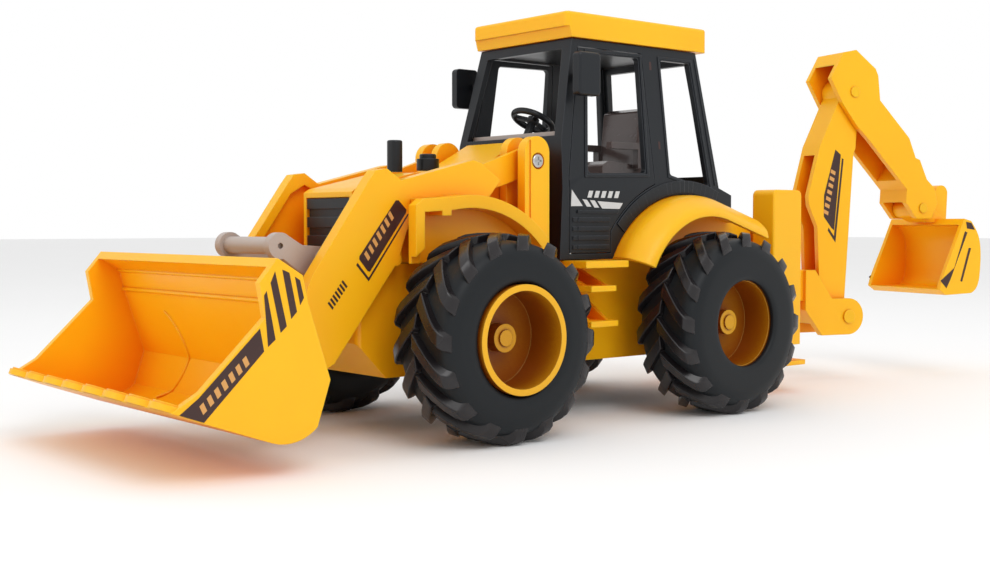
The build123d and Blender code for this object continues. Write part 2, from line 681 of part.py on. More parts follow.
rod_reach = arm_inner + socket_depth - fit
save(cross_rod(tube_y, tube_z, rod_reach, tube_radius), "loader_cross_tube")
save(cross_rod(lever_pivot_y, lever_pivot_z, rod_reach, rod_radius), "lever_pivot_rod")
save(cross_rod(bucket_pivot_y, bucket_pivot_z, arm_outer + 3.2, rod_radius), "bucket_pivot_rod")

# ---------------------------------------------------------------- loader bucket and tilt lever
tooth_count = 8
with BuildPart() as loader_bucket:
    with BuildSketch(side) as bucket_side:
        with BuildLine() as bucket_line:
            Polyline((-72.2, 12.9), (-68, 25.6), (-75, 47.2), (-76.7, 54.7), (-84.5, 59.5), (-90, 53),
                     (-88.3, 43.6), (-107.3, 25.2), (-115.6, 20.5), (-106.5, 17), (-87.5, 10.2))
            ThreePointArc((-87.5, 10.2), (-79.5, 9.3), (-72.2, 12.9))
        make_face()
    extrude(amount=bucket_half, both=True)
    with BuildSketch(side) as bucket_hollow:
        with BuildLine() as hollow_line:
            Polyline((-74.2, 14.6), (-70.6, 25.6), (-77.6, 47), (-79.2, 53.3), (-84.8, 56.7),
                     (-90, 58), (-130, 60), (-130, 26), (-113.6, 22.4), (-105.6, 19.6), (-87, 12.9))
            ThreePointArc((-87, 12.9), (-80.4, 11.9), (-74.2, 14.6))
        make_face()
    extrude(amount=bucket_half - bucket_wall, both=True, mode=Mode.SUBTRACT)
    for tooth in range(tooth_count):
        pitch = 2 * bucket_half / tooth_count
        across = -bucket_half + (tooth + 0.5) * pitch
        tooth_plane = Plane(origin=(across, front_axle_y - 111.2, 19.9), x_dir=(1, 0, 0),
                            z_dir=(0, sin(radians(21)), cos(radians(21))))
        with Locations(tooth_plane):
            Cylinder(pitch / 2 - 0.25, 1.8)
    lug_spans = ((arm_outer + 0.5, arm_outer + 3.0), (arm_inner - 3.0, arm_inner - 0.5))
    for sign in (1, -1):
        for near, far in lug_spans:
            with BuildSketch(side.offset(min(sign * near, sign * far))) as bucket_lug:
                Polygon((-70.5, 18.5), (bucket_pivot_y - 1, bucket_pivot_z - 4.6),
                        (bucket_pivot_y + 1, bucket_pivot_z + 4.6), (-73.5, 44), (-70, 26),
                        align=None)
                with Locations((bucket_pivot_y, bucket_pivot_z)):
                    Circle(4.8)
            extrude(amount=2.5)
    cut_shaft_hole(bucket_pivot_y, bucket_pivot_z, rod_radius + running)
save(loader_bucket.part, "loader_bucket")

cheek_from = 14.0
cheek_to = 17.0
with BuildPart() as tilt_lever:
    for near in (cheek_from, -cheek_to):
        with BuildSketch(side.offset(near)) as lever_cheek:
            Polygon((handle_y + 1.5, handle_z + 3.8), (-52, 62.2), (lever_pivot_y - 1, lever_pivot_z + 4.2),
                    (lever_pivot_y + 1, lever_pivot_z - 4.2), (-49.4, 52.2), (-53, 54),
                    (handle_y + 0.8, handle_z - 3.9), align=None)
            with Locations((handle_y, handle_z), (lever_pivot_y, lever_pivot_z)):
                Circle(4.1)
        extrude(amount=cheek_to - cheek_from)
    with BuildSketch(side.offset(-cheek_to)) as handle_tube:
        with Locations((handle_y, handle_z)):
            Circle(2.7)
    extrude(amount=2 * cheek_to)
    for near in (cheek_from, -arm_inner + fit):
        with BuildSketch(side.offset(near)) as lever_boss:
            with Locations((lever_pivot_y, lever_pivot_z)):
                Circle(3.6)
        extrude(amount=arm_inner - fit - cheek_from)
    cut_shaft_hole(lever_pivot_y, lever_pivot_z, rod_radius + running)
    for near in (cheek_to - 1.2, -cheek_to):
        with BuildSketch(side.offset(near)) as handle_dimple:
            with Locations((handle_y, handle_z)):
                Circle(0.9)
        extrude(amount=1.2, mode=Mode.SUBTRACT)
save(tilt_lever.part, "tilt_lever")

# ---------------------------------------------------------------- rear body and backhoe frame
with BuildPart() as rear_body:
    with BuildSketch(side) as rear_outline:
        with BuildLine() as rear_line:
            tail = radians(90 - tail_angle)
            seat_radius = rear_fender_radius
            start_z = cab_floor
            start_y = wheelbase - sqrt(seat_radius**2 - (start_z - arch_centre_z) ** 2)
            tail_y = wheelbase + seat_radius * cos(tail)
            tail_z = arch_centre_z + seat_radius * sin(tail)
            end_y = chassis_rear
            end_z = tail_z - (end_y - tail_y) * sin(radians(tail_angle)) / cos(radians(tail_angle))
            ThreePointArc((start_y, start_z), (wheelbase - seat_radius * cos(radians(60)),
                                               arch_centre_z + seat_radius * sin(radians(60))),
                          (tail_y, tail_z))
            Polyline((tail_y, tail_z), (end_y, end_z), (end_y, start_z), (start_y, start_z))
        make_face()
    extrude(amount=chassis_half, both=True)
    with BuildSketch(side) as rear_hollow:
        add(offset(rear_outline.sketch_local, amount=-wall, kind=Kind.INTERSECTION, mode=Mode.PRIVATE))
        with Locations((wheelbase + 6, start_z + 2)):
            Rectangle(70, 8)
    extrude(amount=chassis_half - wall, both=True, mode=Mode.SUBTRACT)
save(rear_body.part, "rear_body")

leg_inner = 22.0
leg_outer = 33.0
leg_rear = 174.4
leg_top = 82.5
leg_corner = 2.5
leg_low = 19.8
leg_foot_z = 13.0
with BuildPart() as stabiliser:
    with BuildSketch(side.offset(leg_inner)) as leg_outline:
        Polygon((chassis_rear + fit, leg_low), (leg_rear, leg_low), (leg_rear, leg_top),
                (chassis_rear + fit, leg_top), align=None)
        fillet(leg_outline.vertices().group_by(Axis.Y)[-1], radius=leg_corner)
    extrude(amount=leg_outer - leg_inner)
    fillet(stabiliser.edges().filter_by(Axis.Z), radius=0.8)
    with BuildSketch(side.offset(leg_inner + 2)) as foot_stem:
        Polygon((chassis_rear + 5, leg_foot_z), (leg_rear - 3, leg_foot_z), (leg_rear - 3, leg_low + 1),
                (chassis_rear + 5, leg_low + 1), align=None)
    extrude(amount=leg_outer - leg_inner - 4)
    with BuildSketch(top.offset(leg_foot_z - 1.6)) as foot_pad:
        with Locations(((leg_inner + leg_outer) / 2, (chassis_rear + leg_rear) / 2 + 2)):
            RectangleRounded(12, 22, 2)
    extrude(amount=1.8)
save_pair(stabiliser.part, "stabiliser")

lug_radius = 8.0
upper_lug = (49.0, 61.0)
lower_lug = (27.0, 35.0)
with BuildPart() as rear_frame:
    with BuildSketch(side) as frame_plate:
        Polygon((leg_rear - 14, lower_lug[0] - 3), (leg_rear - 8, lower_lug[0] - 3),
                (leg_rear - 8, leg_top - 12), (leg_rear - 14, leg_top - 12), align=None)
    extrude(amount=leg_inner - fit, both=True)
    with BuildSketch(side) as frame_spine:
        Polygon((chassis_rear + fit, 29), (leg_rear - 13, 29), (leg_rear - 13, 54),
                (chassis_rear + fit, 54), align=None)
    extrude(amount=12, both=True)
    for low, high in (upper_lug, lower_lug):
        with BuildSketch(top.offset(low)) as lug:
            with Locations((0, (leg_rear - 9 + kingpost_y) / 2)):
                Rectangle(2 * lug_radius, kingpost_y - leg_rear + 9)
            with Locations((0, kingpost_y)):
                Circle(lug_radius)
        extrude(amount=high - low)
    with BuildSketch(top.offset(lower_lug[0] - 1)) as kingpost_bore:
        with Locations((0, kingpost_y)):
            Circle(kingpost_radius + pressed)
    extrude(amount=upper_lug[1] - lower_lug[0] + 2, mode=Mode.SUBTRACT)
save(rear_frame.part, "rear_frame")

with BuildPart() as kingpost:
    with BuildSketch(top.offset(lower_lug[0] - 1.5)) as post:
        with Locations((0, kingpost_y)):
            Circle(kingpost_radius)
    extrude(amount=upper_lug[1] - lower_lug[0] + 2)
    with BuildSketch(top.offset(upper_lug[1] + 0.2)) as post_head:
        with Locations((0, kingpost_y)):
            Circle(3.6)
    extrude(amount=1.6)
    fillet(kingpost.edges().filter_by(GeomType.CIRCLE).group_by(Axis.Z)[-1], radius=0.5)
save(kingpost.part, "kingpost")

# ---------------------------------------------------------------- backhoe
knuckle_low = lower_lug[1] + fit
knuckle_high = upper_lug[0] - fit
clevis_inner = boom_half + 0.4
clevis_outer = clevis_inner + 3.2
clevis_start = 11.0
eye_radius = 8.0


def swing_hole(reach, height, radius):
    with BuildSketch(swing) as hole:
        with Locations((reach, height)):
            Circle(radius)
    extrude(hole.sketch, amount=2 * digger_half, both=True, mode=Mode.SUBTRACT)


with BuildPart() as swing_casting:
    with BuildSketch(swing_top.offset(knuckle_low)) as knuckle:
        Circle(lug_radius)
        with Locations((clevis_start / 2 + 1, 0)):
            Rectangle(clevis_start + 2, 2 * lug_radius)
        with Locations((clevis_start + 2.5, 0)):
            Rectangle(5, 2 * clevis_outer)
    extrude(amount=knuckle_high - knuckle_low)
    with BuildSketch(swing) as clevis_outline:
        Polygon((clevis_start, knuckle_high), (clevis_start + 5, knuckle_high),
                (foot_reach - 9, foot_z + eye_radius), (foot_reach, foot_z + eye_radius),
                (foot_reach, foot_z - eye_radius), (clevis_start + 9, foot_z - eye_radius),
                (clevis_start, knuckle_low - 4), align=None)
        with Locations((foot_reach, foot_z)):
            Circle(eye_radius)
    extrude(amount=clevis_outer, both=True)
    with BuildSketch(swing) as clevis_gap:
        Polygon((clevis_start + 5, knuckle_high + 5), (foot_reach + 12, knuckle_high + 5),
                (foot_reach + 12, foot_z - 12), (clevis_start + 5, foot_z - 12), align=None)
    extrude(amount=clevis_inner, both=True, mode=Mode.SUBTRACT)
    with BuildSketch(swing_top.offset(knuckle_low - 2)) as casting_bore:
        Circle(kingpost_radius + running)
    extrude(amount=20, mode=Mode.SUBTRACT)
    swing_hole(foot_reach, foot_z, backhoe_pin_radius + pressed)
save(swing_casting.part, "swing_casting")

boom_web = 2.4
with BuildPart() as boom:
    with BuildSketch(swing) as boom_outline:
        Polygon((foot_reach - 6, foot_z - 2), (21.2, 36.5), (19.6, 67.5), (15, 77), (14.6, 81),
                (20.6, 103), (22.4, 106.6), (boom_head_reach - 5.6, boom_head_z - 2),
                (boom_head_reach + 4, boom_head_z - 3), (39.9, 102.4), (38.8, 100),
                (34.6, foot_z + 7), align=None)
        with Locations((foot_reach, foot_z), (boom_head_reach, boom_head_z)):
            Circle(6.2)
    extrude(amount=boom_half, both=True)
    with BuildSketch(swing) as channel:
        Polygon((10, 44), (26, 44), (31.6, 66), (34.6, 97), (31, 99), (16, 99), (8, 84), align=None)
    extrude(amount=boom_half - boom_web, both=True, mode=Mode.SUBTRACT)
    swing_hole(foot_reach, foot_z, backhoe_pin_radius + running)
    swing_hole(boom_head_reach, boom_head_z, backhoe_pin_radius + running)
save(boom.part, "boom")

dipper_gap = boom_half + 0.4
with BuildPart() as dipper:
    with BuildSketch(swing) as dipper_outline:
        Polygon((31, 121), (24, 132.5), (30.6, 144), (37.5, 145.4), (48.3, 137.6), (49.8, 134.6),
                (51, 123.8), (67.7, 107.5), (71.6, 98.6), (74, 97.8), (78.2, 89), (82.6, 85.2),
                (84.6, 78), (wrist_reach + 5, wrist_z - 4.8), (wrist_reach - 3.4, wrist_z - 4.8), (66.4, 78.4),
                (66.8, 84.4), (45.2, 106), (38.2, 112.2), align=None)
    extrude(amount=dipper_half, both=True)
    with BuildSketch(swing) as head_gap:
        Polygon((20, 118), (20, 133), (31.6, 141.5), (37.2, 142.6), (45.6, 136.4), (47, 133.8),
                (48.4, 122.6), (64.6, 107), (68.6, 98), (60, 84), (40, 104), align=None)
    extrude(amount=dipper_gap, both=True, mode=Mode.SUBTRACT)
    with BuildSketch(swing) as wrist_gap:
        Polygon((wrist_reach - 12, wrist_z - 8), (wrist_reach - 12, wrist_z + 1),
                (wrist_reach - 4, wrist_z + 6.4), (wrist_reach + 6, wrist_z + 6.4),
                (wrist_reach + 12, wrist_z - 8), align=None)
    extrude(amount=dipper_half - 2.6, both=True, mode=Mode.SUBTRACT)
    swing_hole(boom_head_reach, boom_head_z, backhoe_pin_radius + pressed)
    swing_hole(wrist_reach, wrist_z, backhoe_pin_radius + pressed)
save(dipper.part, "dipper")

ear_half = dipper_half - 2.6 - 0.4
with BuildPart() as backhoe_bucket:
    with BuildSketch(swing) as digger_side:
        with BuildLine() as digger_line:
            Spline((86.4, 71.2), (81, 59), (74.6, 45), (72.8, 39.6), tangents=((-0.45, -1), (-0.2, -1)))
            Polyline((72.8, 39.6), (76.5, 37.2), (90.8, 37.8))
            Spline((90.8, 37.8), (96, 48), (94.6, 64), (90.4, 70.2), tangents=((1, 0.35), (-0.8, 1)))
            Line((90.4, 70.2), (86.4, 71.2))
        make_face()
    extrude(amount=digger_half, both=True)
    with BuildSketch(swing) as digger_hollow:
        with BuildLine() as digger_hollow_line:
            Polyline((84, 68.6), (70, 68.6), (66, 40.8), (76.6, 39.4), (89.6, 40))
            Spline((89.6, 40), (93.6, 49), (92.2, 63), (88.8, 67.8), tangents=((1, 0.4), (-0.8, 1)))
            Line((88.8, 67.8), (84, 68.6))
        make_face()
    extrude(amount=digger_half - 2.0, both=True, mode=Mode.SUBTRACT)
    with BuildSketch(swing) as ear_outline:
        Polygon((wrist_reach - 4, wrist_z), (wrist_reach + 3, wrist_z + 4.2), (91, 71.5), (90.4, 69.4),
                (86.4, 69.6), (81.6, 69.6), (wrist_reach - 2, wrist_z - 3.6), align=None)
        with Locations((wrist_reach, wrist_z)):
            Circle(4.4)
    extrude(amount=ear_half, both=True)
    with BuildSketch(swing) as knob_outline:
        Polygon((88, 69.8), (88, 83), (95.4, 83), (94.6, 66), align=None)
        with Locations((91.7, 83)):
            Circle(3.7)
    extrude(amount=3.4, both=True)
    swing_hole(wrist_reach, wrist_z, backhoe_pin_radius + running)
save(backhoe_bucket.part, "backhoe_bucket")


def swing_pin(reach, height, half_length):
    with BuildPart() as pin:
        with BuildSketch(swing.offset(-half_length)):
            with Locations((reach, height)):
                Circle(backhoe_pin_radius)
        extrude(amount=2 * half_length)
        chamfer(pin.edges().filter_by(GeomType.CIRCLE), length=0.3)
    return pin.part


save(swing_pin(foot_reach, foot_z, clevis_outer + 0.4), "boom_foot_pin")
save(swing_pin(boom_head_reach, boom_head_z, dipper_half + 0.3), "dipper_pin")
save(swing_pin(wrist_reach, wrist_z, dipper_half + 0.3), "bucket_pin")

# ---------------------------------------------------------------- cab
cab_front = 43.5
cab_rear = 133.8
arch_gap_radius = rear_fender_radius + fit
door_gap = 0.35
hinge_x = cab_half - cab_wall / 2
hinge_back = 48.0 + cab_wall / 2
hinge_pin_radius = 0.55
hinge_pin_top = 80.0


def cab_block(inset):
    """Cab outline as a solid: side profile crossed with the tapered front view, shrunk by inset."""
    with BuildPart() as block:
        with BuildSketch(side) as cab_side:
            Polygon((cab_front + inset, cab_floor - 3 * inset), (cab_front + inset, cab_floor + 1),
                    (45.5 + inset, 98), (53.5 + inset, cab_top - inset), (118 - inset, cab_top - inset),
                    (126.6 - inset, 82.5), (cab_rear - inset, 79.8 - inset),
                    (cab_rear - inset, cab_floor - 3 * inset), align=None)
        extrude(amount=cab_half + 5, both=True)
        with BuildSketch(front_view(-20)) as cab_front_view:
            Polygon((-cab_half + inset, cab_floor - 3 * inset), (cab_half - inset, cab_floor - 3 * inset),
                    (cab_half - inset, cab_waist), (cab_top_half - inset, cab_top),
                    (-cab_top_half + inset, cab_top), (-cab_half + inset, cab_waist), align=None)
        extrude(amount=-200, mode=Mode.INTERSECT)
    return block.part


def door_face(grow):
    """Outline of a cab door in the side plane, grown all round by grow."""
    arc_radius = 48.0 - grow
    waist_y = 91.0 + grow
    waist_z = arch_centre_z + sqrt(arc_radius**2 - (wheelbase - waist_y) ** 2)
    heel_y = 67.8 + grow
    heel_z = arch_centre_z + sqrt(arc_radius**2 - (wheelbase - heel_y) ** 2)
    mid = radians(125)
    with BuildLine() as outline:
        ThreePointArc((waist_y, waist_z), (wheelbase + arc_radius * cos(mid),
                                           arch_centre_z + arc_radius * sin(mid)), (heel_y, heel_z))
        Polyline((heel_y, heel_z), (heel_y, 58.6 - grow), (48.0 - grow, 58.6 - grow),
                 (48.0 - grow, 84), (56.4 - grow, 131 + grow), (88 + grow, 131 + grow),
                 (waist_y, waist_z))
    make_face(outline.edges())


with BuildPart() as cab_skin:
    add(cab_block(0))
    add(cab_block(cab_wall), mode=Mode.SUBTRACT)
    with BuildSketch(side) as rear_arch_cut:
        with Locations((wheelbase, arch_centre_z)):
            Circle(arch_gap_radius)
        with BuildLine():
            Polyline((tail_y, tail_z + fit), (160, tail_z + fit - (160 - tail_y) * sin(radians(tail_angle))),
                     (160, 40), (tail_y, 40), (tail_y, tail_z + fit))
        make_face()
    extrude(amount=cab_half + 5, both=True, mode=Mode.SUBTRACT)

with BuildPart() as cab_frame:
    add(cab_skin.part)
    with BuildSketch(side) as door_opening:
        door_face(door_gap)
    extrude(amount=cab_half + 5, both=True, mode=Mode.SUBTRACT)
    with BuildSketch(side) as quarter_window:
        Polygon((98, 129.6), (114, 129.6), (120.8, 83), (108, 85), (99.6, 87), align=None)
        fillet(quarter_window.vertices(), radius=1.2)
    extrude(amount=cab_half + 5, both=True, mode=Mode.SUBTRACT)
    with BuildSketch(front_view(20)) as windscreen:
        Polygon((-24.4, 99.6), (24.4, 99.6), (cab_top_half - 4.4, 130.5), (-cab_top_half + 4.4, 130.5),
                align=None)
    extrude(amount=-50, mode=Mode.SUBTRACT)
    with BuildSketch(front_view(105)) as rear_window:
        Polygon((-25, 87), (25, 87), (cab_top_half - 4, 129.5), (-cab_top_half + 4, 129.5), align=None)
    extrude(amount=-40, mode=Mode.SUBTRACT)
    for sign in (1, -1):
        with BuildSketch(top.offset(cab_floor - 1)) as pin_bore:
            with Locations((sign * hinge_x, hinge_back)):
                Circle(hinge_pin_radius + pressed)
        extrude(amount=4, mode=Mode.SUBTRACT)
save(cab_frame.part, "cab_frame")

with BuildPart() as door:
    add(cab_skin.part)
    with BuildSketch(side.offset(2)) as door_outline:
        door_face(0)
    extrude(amount=cab_half + 5, mode=Mode.INTERSECT)
    with BuildSketch(side) as door_window:
        Polygon((60.6, 129), (86.4, 129.4), (86.6, 87.4), (57.2, 86.6), align=None)
        fillet(door_window.vertices(), radius=1.6)
    extrude(amount=cab_half + 5, mode=Mode.SUBTRACT)
    for rib in range(4):
        rib_z = 60.6 + rib * 3.2
        with BuildSketch(side.offset(cab_half - 0.2)) as louvre:
            with Locations((57.8, rib_z)):
                Rectangle(17, 1.5)
        extrude(amount=0.75)
    with BuildSketch(top.offset(58)) as hinge_round:
        with Locations((hinge_x + cab_wall / 4, hinge_back - cab_wall / 4)):
            Rectangle(cab_wall / 2, cab_wall / 2)
        with Locations((hinge_x, hinge_back)):
            Circle(cab_wall / 2, mode=Mode.SUBTRACT)
    extrude(amount=cab_waist + 3 - 58, mode=Mode.SUBTRACT)
    with BuildSketch(top.offset(57)) as door_bore:
        with Locations((hinge_x, hinge_back)):
            Circle(hinge_pin_radius + running)
    extrude(amount=hinge_pin_top + 0.3 - 57, mode=Mode.SUBTRACT)
    with BuildSketch(side.offset(cab_half - cab_wall - 2.0)) as inside_pull:
        with Locations((62, 79)):
            Rectangle(8, 1.6)
    extrude(amount=2.4)
save_pair(door.part, "door")

with BuildPart() as door_pins:
    with BuildSketch(top.offset(cab_floor + 0.3)) as door_pin_section:
        with Locations((hinge_x, hinge_back)):
            Circle(hinge_pin_radius)
    extrude(amount=hinge_pin_top - cab_floor - 0.3)
    mirror(about=Plane.YZ)
save(door_pins.part, "door_pins")

with BuildPart() as cab_roof:
    with BuildSketch(top.offset(cab_top + fit)) as roof_slab:
        with Locations((0, (50.2 + 123.4) / 2)):
            RectangleRounded(2 * roof_half, 73.2, 2.0)
    extrude(amount=roof_height)
    fillet(cab_roof.faces().sort_by(Axis.Z)[-1].edges(), radius=1.2)
    with BuildSketch(side) as brow_cut:
        Polygon((49, cab_top - 1), (53.0, cab_top - 1), (51.4, cab_top + 4), (49, cab_top + 4), align=None)
    extrude(amount=roof_half + 1, both=True, mode=Mode.SUBTRACT)
    with BuildSketch(top.offset(cab_top + fit)) as roof_hollow:
        with Locations((0, (50.2 + 123.4) / 2 + 1)):
            Rectangle(2 * roof_half - 8, 61)
    extrude(amount=roof_height - 2.2, mode=Mode.SUBTRACT)
save(cab_roof.part, "cab_roof")

mirror_inner = 32.4
mirror_depth = 3.4
mirror_width = 10.5
mirror_height = 15.0
bracket_back = 56.2
bracket_z = 121.0
bracket_height = 2.4
# The bracket starts a fit away from the door's window frame, which leans in above the waist.
door_lean = (cab_half - cab_top_half) / (cab_top - cab_waist)
bracket_inner = cab_half - (bracket_z - bracket_height / 2 - cab_waist) * door_lean + fit
with BuildPart() as wing_mirror:
    with BuildSketch(side.offset(mirror_inner)) as mirror_shell:
        with Locations((bracket_back - 3.9, bracket_z - 0.5)):
            RectangleRounded(mirror_width, mirror_height, 1.6)
    extrude(amount=mirror_depth)
    fillet(wing_mirror.faces().sort_by(Axis.X)[-1].edges(), radius=1.0)
    with BuildSketch(side.offset(bracket_inner)) as mirror_bracket:
        with Locations((bracket_back, bracket_z)):
            Rectangle(2.0, bracket_height)
    extrude(amount=mirror_inner + 0.6 - bracket_inner)
save_pair(wing_mirror.part, "wing_mirror")

# ---------------------------------------------------------------- cab interior
seat_y = 96.0
inner_half = cab_half - cab_wall - 1.0
deck_top = 82.4
with BuildPart() as cab_interior:
    with BuildSketch(side) as interior_outline:
        Polygon((47.4, cab_floor + 0.2), (49.3, 98), (49.6, 101.4), (53.8, 100.2), (54.4, 96),
                (52.6, 60.4), (62, 60.4), (69, 72), (76, 80.4), (82, deck_top), (112, 84), (112, 82.2),
                (106, 82.2), (85, 79.4), (78, 76.4), (70, 68), (64.4, cab_floor + 0.2), align=None)
    extrude(amount=inner_half - 1.2, both=True)
    with BuildSketch(side) as dash_hollow:
        Polygon((49.2, cab_floor - 1), (50.6, 94), (52.4, 94), (51.2, cab_floor - 1), align=None)
    extrude(amount=inner_half - 4, both=True, mode=Mode.SUBTRACT)
save(cab_interior.part, "cab_interior")

with BuildPart() as seat:
    with BuildSketch(side) as seat_outline:
        Polygon((84, deck_top + 1.4), (84, 91), (87, 92.6), (101, 91.4), (103.4, 112), (107, 113.6),
                (110.4, 111), (108.6, 88), (106.4, deck_top + 1.9), align=None)
    extrude(amount=9.5, both=True)
    fillet(seat.edges().filter_by(Axis.X), radius=1.0)
    for near in (9.3, -12.3):
        with BuildSketch(side.offset(near)) as armrest:
            with Locations((94.5, 98.4)):
                Rectangle(17, 2.6)
            with Locations((101.6, 94)):
                Rectangle(2.8, 8)
        extrude(amount=3.0)
save(seat.part, "seat")

wheel_tilt = 28.0
wheel_centre = (0, front_axle_y + 57.4, 106.6)
column_radius = 1.5
column_length = 7.2
with BuildPart(Plane(origin=wheel_centre, x_dir=(1, 0, 0),
                     z_dir=(0, sin(radians(wheel_tilt)), cos(radians(wheel_tilt))))) as steering_wheel:
    Torus(7.4, 1.15)
    Cylinder(2.2, 2.0)
    with PolarLocations(0, 3, 90):
        Box(7.4, 1.8, 1.3, align=(Align.MIN, Align.CENTER, Align.CENTER))
    Cylinder(column_radius, column_length, align=(Align.CENTER, Align.CENTER, Align.MAX))
save(steering_wheel.part, "steering_wheel")
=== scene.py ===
import json
import math

import bmesh
import bpy
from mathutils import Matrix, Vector


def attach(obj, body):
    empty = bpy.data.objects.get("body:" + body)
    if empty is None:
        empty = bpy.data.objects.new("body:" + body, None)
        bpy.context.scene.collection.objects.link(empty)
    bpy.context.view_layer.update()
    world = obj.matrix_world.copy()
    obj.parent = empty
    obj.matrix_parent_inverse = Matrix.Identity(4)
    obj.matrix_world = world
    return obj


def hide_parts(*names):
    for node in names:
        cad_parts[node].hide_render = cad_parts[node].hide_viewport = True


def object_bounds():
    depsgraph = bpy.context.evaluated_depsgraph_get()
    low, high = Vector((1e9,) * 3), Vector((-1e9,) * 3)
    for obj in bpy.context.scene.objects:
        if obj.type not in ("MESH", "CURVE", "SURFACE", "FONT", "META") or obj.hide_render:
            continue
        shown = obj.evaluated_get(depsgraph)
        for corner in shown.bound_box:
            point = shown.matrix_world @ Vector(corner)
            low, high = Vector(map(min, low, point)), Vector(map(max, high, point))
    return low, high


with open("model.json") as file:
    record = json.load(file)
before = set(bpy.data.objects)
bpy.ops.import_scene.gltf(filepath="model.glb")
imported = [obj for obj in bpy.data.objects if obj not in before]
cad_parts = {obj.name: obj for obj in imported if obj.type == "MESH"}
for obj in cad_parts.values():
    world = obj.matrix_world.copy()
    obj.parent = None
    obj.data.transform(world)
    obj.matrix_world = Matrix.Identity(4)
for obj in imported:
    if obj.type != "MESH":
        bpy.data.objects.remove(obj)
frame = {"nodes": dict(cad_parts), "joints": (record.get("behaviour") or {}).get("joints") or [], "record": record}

cadLow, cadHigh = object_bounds()
mm = 0.001

jointAt = {j["name"]: Vector(j["pos_m"]) for j in frame["joints"]}
bodyOf = {n: b for b, nodes in frame["record"]["behaviour"]["bodies"].items() for n in nodes}
slotOf = {s["node"]: s["material_slot"] for s in frame["record"]["subparts"]}
frontAxle = jointAt["front_wheels_spin"]
rearAxle = jointAt["rear_wheels_spin"]
kingpost = jointAt["backhoe_slew"]
swingSide = Vector(next(j["axis"] for j in frame["joints"] if j["name"] == "boom_lift"))
swingBack = Vector((-swingSide.y, swingSide.x, 0))


# ---- shader maths
class Socket:
    # an output socket; sums on it add Math nodes
    def __init__(self, shader, out):
        self.shader = shader
        self.out = out

    def maths(self, operation, a, b=0.0, clamp=False):
        return self.shader.make("ShaderNodeMath", {0: a, 1: b}, operation=operation, use_clamp=clamp)

    def __add__(self, b):
        return self.maths("ADD", self, b)

    def __sub__(self, b):
        return self.maths("SUBTRACT", self, b)

    def __rsub__(self, a):
        return self.maths("SUBTRACT", a, self)

    def __mul__(self, b):
        return self.maths("MULTIPLY", self, b)

    def __gt__(self, b):
        return self.maths("GREATER_THAN", self, b)

    def clamped(self):
        return self.maths("ADD", self, 0.0, clamp=True)

    __radd__ = __add__
    __rmul__ = __mul__


class Shader:
    def __init__(self, name):
        self.material = bpy.data.materials.new(name)
        self.material.use_nodes = True
        self.tree = self.material.node_tree
        self.tree.nodes.clear()

    def make(self, kind, inputs=None, output=0, **settings):
        node = self.tree.nodes.new(kind)
        for key, value in settings.items():
            setattr(node, key, value)
        for key, value in (inputs or {}).items():
            if isinstance(value, Socket):
                self.tree.links.new(value.out, node.inputs[key])
            else:
                node.inputs[key].default_value = value
        return Socket(self, node.outputs[output])

    def mix(self, factor, a, b):
        a, b = [(*c, 1) if isinstance(c, tuple) else c for c in (a, b)]
        return self.make("ShaderNodeMix", {0: factor, 6: a, 7: b}, output=2, data_type="RGBA")

    def noise(self, where, scale, detail=2.0):
        return self.make("ShaderNodeTexNoise", {"Vector": where, "Scale": scale, "Detail": detail})

    def finish(self, **inputs):
        surface = self.make("ShaderNodeBsdfPrincipled", {k.replace("_", " "): v for k, v in inputs.items()})
        out = self.tree.nodes.new("ShaderNodeOutputMaterial")
        self.tree.links.new(surface.out, out.inputs["Surface"])
        return self.material


def mouldedPlastic(name, look):
    # injection-moulded plastic: painted shade in hollows, painted highlight on rounded edges, cloudy tone, fine
    # grain
    s = Shader(name)
    where = s.make("ShaderNodeTexCoord", output="Object")
    cloud = s.noise(where, look["cloudScale"], 3.0)
    flow = s.noise(s.make("ShaderNodeMapping", {"Vector": where, "Scale": (1.0, 0.25, 2.2)}), 140.0, 2.0)
    grain = s.noise(where, look["grainScale"], 2.0)
    scuff = s.noise(s.make("ShaderNodeMapping", {"Vector": where, "Rotation": (0.4, 0.9, 0.3),
                                                 "Scale": (1.0, 9.0, 1.0)}), 320.0, 4.0)
    rounded = s.make("ShaderNodeBevel", {"Radius": look["edgeRadius"] * mm}, samples=4)
    flat = s.make("ShaderNodeNewGeometry", output="Normal")
    alike = s.make("ShaderNodeVectorMath", {0: rounded, 1: flat}, output="Value", operation="DOT_PRODUCT")
    # painted highlight: rounded edges are lightened toward a paler edge colour, as where light catches them
    edgeHighlight = ((1 - alike) * look["edgeHighlightGain"]).clamped()
    # painted shade: ambient occlusion darkens creases and hollows toward a deeper shade colour
    shadeMask = 1 - s.make("ShaderNodeAmbientOcclusion", {"Distance": look["shadeReach"] * mm}, output="AO",
                        samples=8)
    shadeMask = ((shadeMask - look["shadeStart"]) * look["shadeGain"]).clamped()
    tone = s.mix((cloud - 0.35) * 1.4, look["colour"], look["colourToo"])
    tone = s.mix(shadeMask, tone, look["paintedShadeColour"])
    tone = s.mix(edgeHighlight * look["edgeHighlightMix"], tone, look["edgeHighlightColour"])
    rough = look["rough"] + (flow - 0.5) * look["roughSpread"] + (scuff > 0.66) * look["scuffRough"]
    bump = s.make("ShaderNodeBump", {"Height": grain + cloud * 2.0, "Normal": rounded,
                                     "Distance": look["grainDepth"] * mm, "Strength": 1.0})
    return s.finish(Base_Color=tone, Roughness=rough, Normal=bump, IOR=1.5,
                    Subsurface_Weight=look.get("glow", 0.0),
                    Subsurface_Radius=look.get("glowReach", (1, 1, 1)),
                    Subsurface_Scale=look.get("glowScale", 1.0) * mm, Coat_Weight=look.get("coat", 0.0),
                    Specular_IOR_Level=look.get("shine", 0.5),
                    Coat_Roughness=0.12)


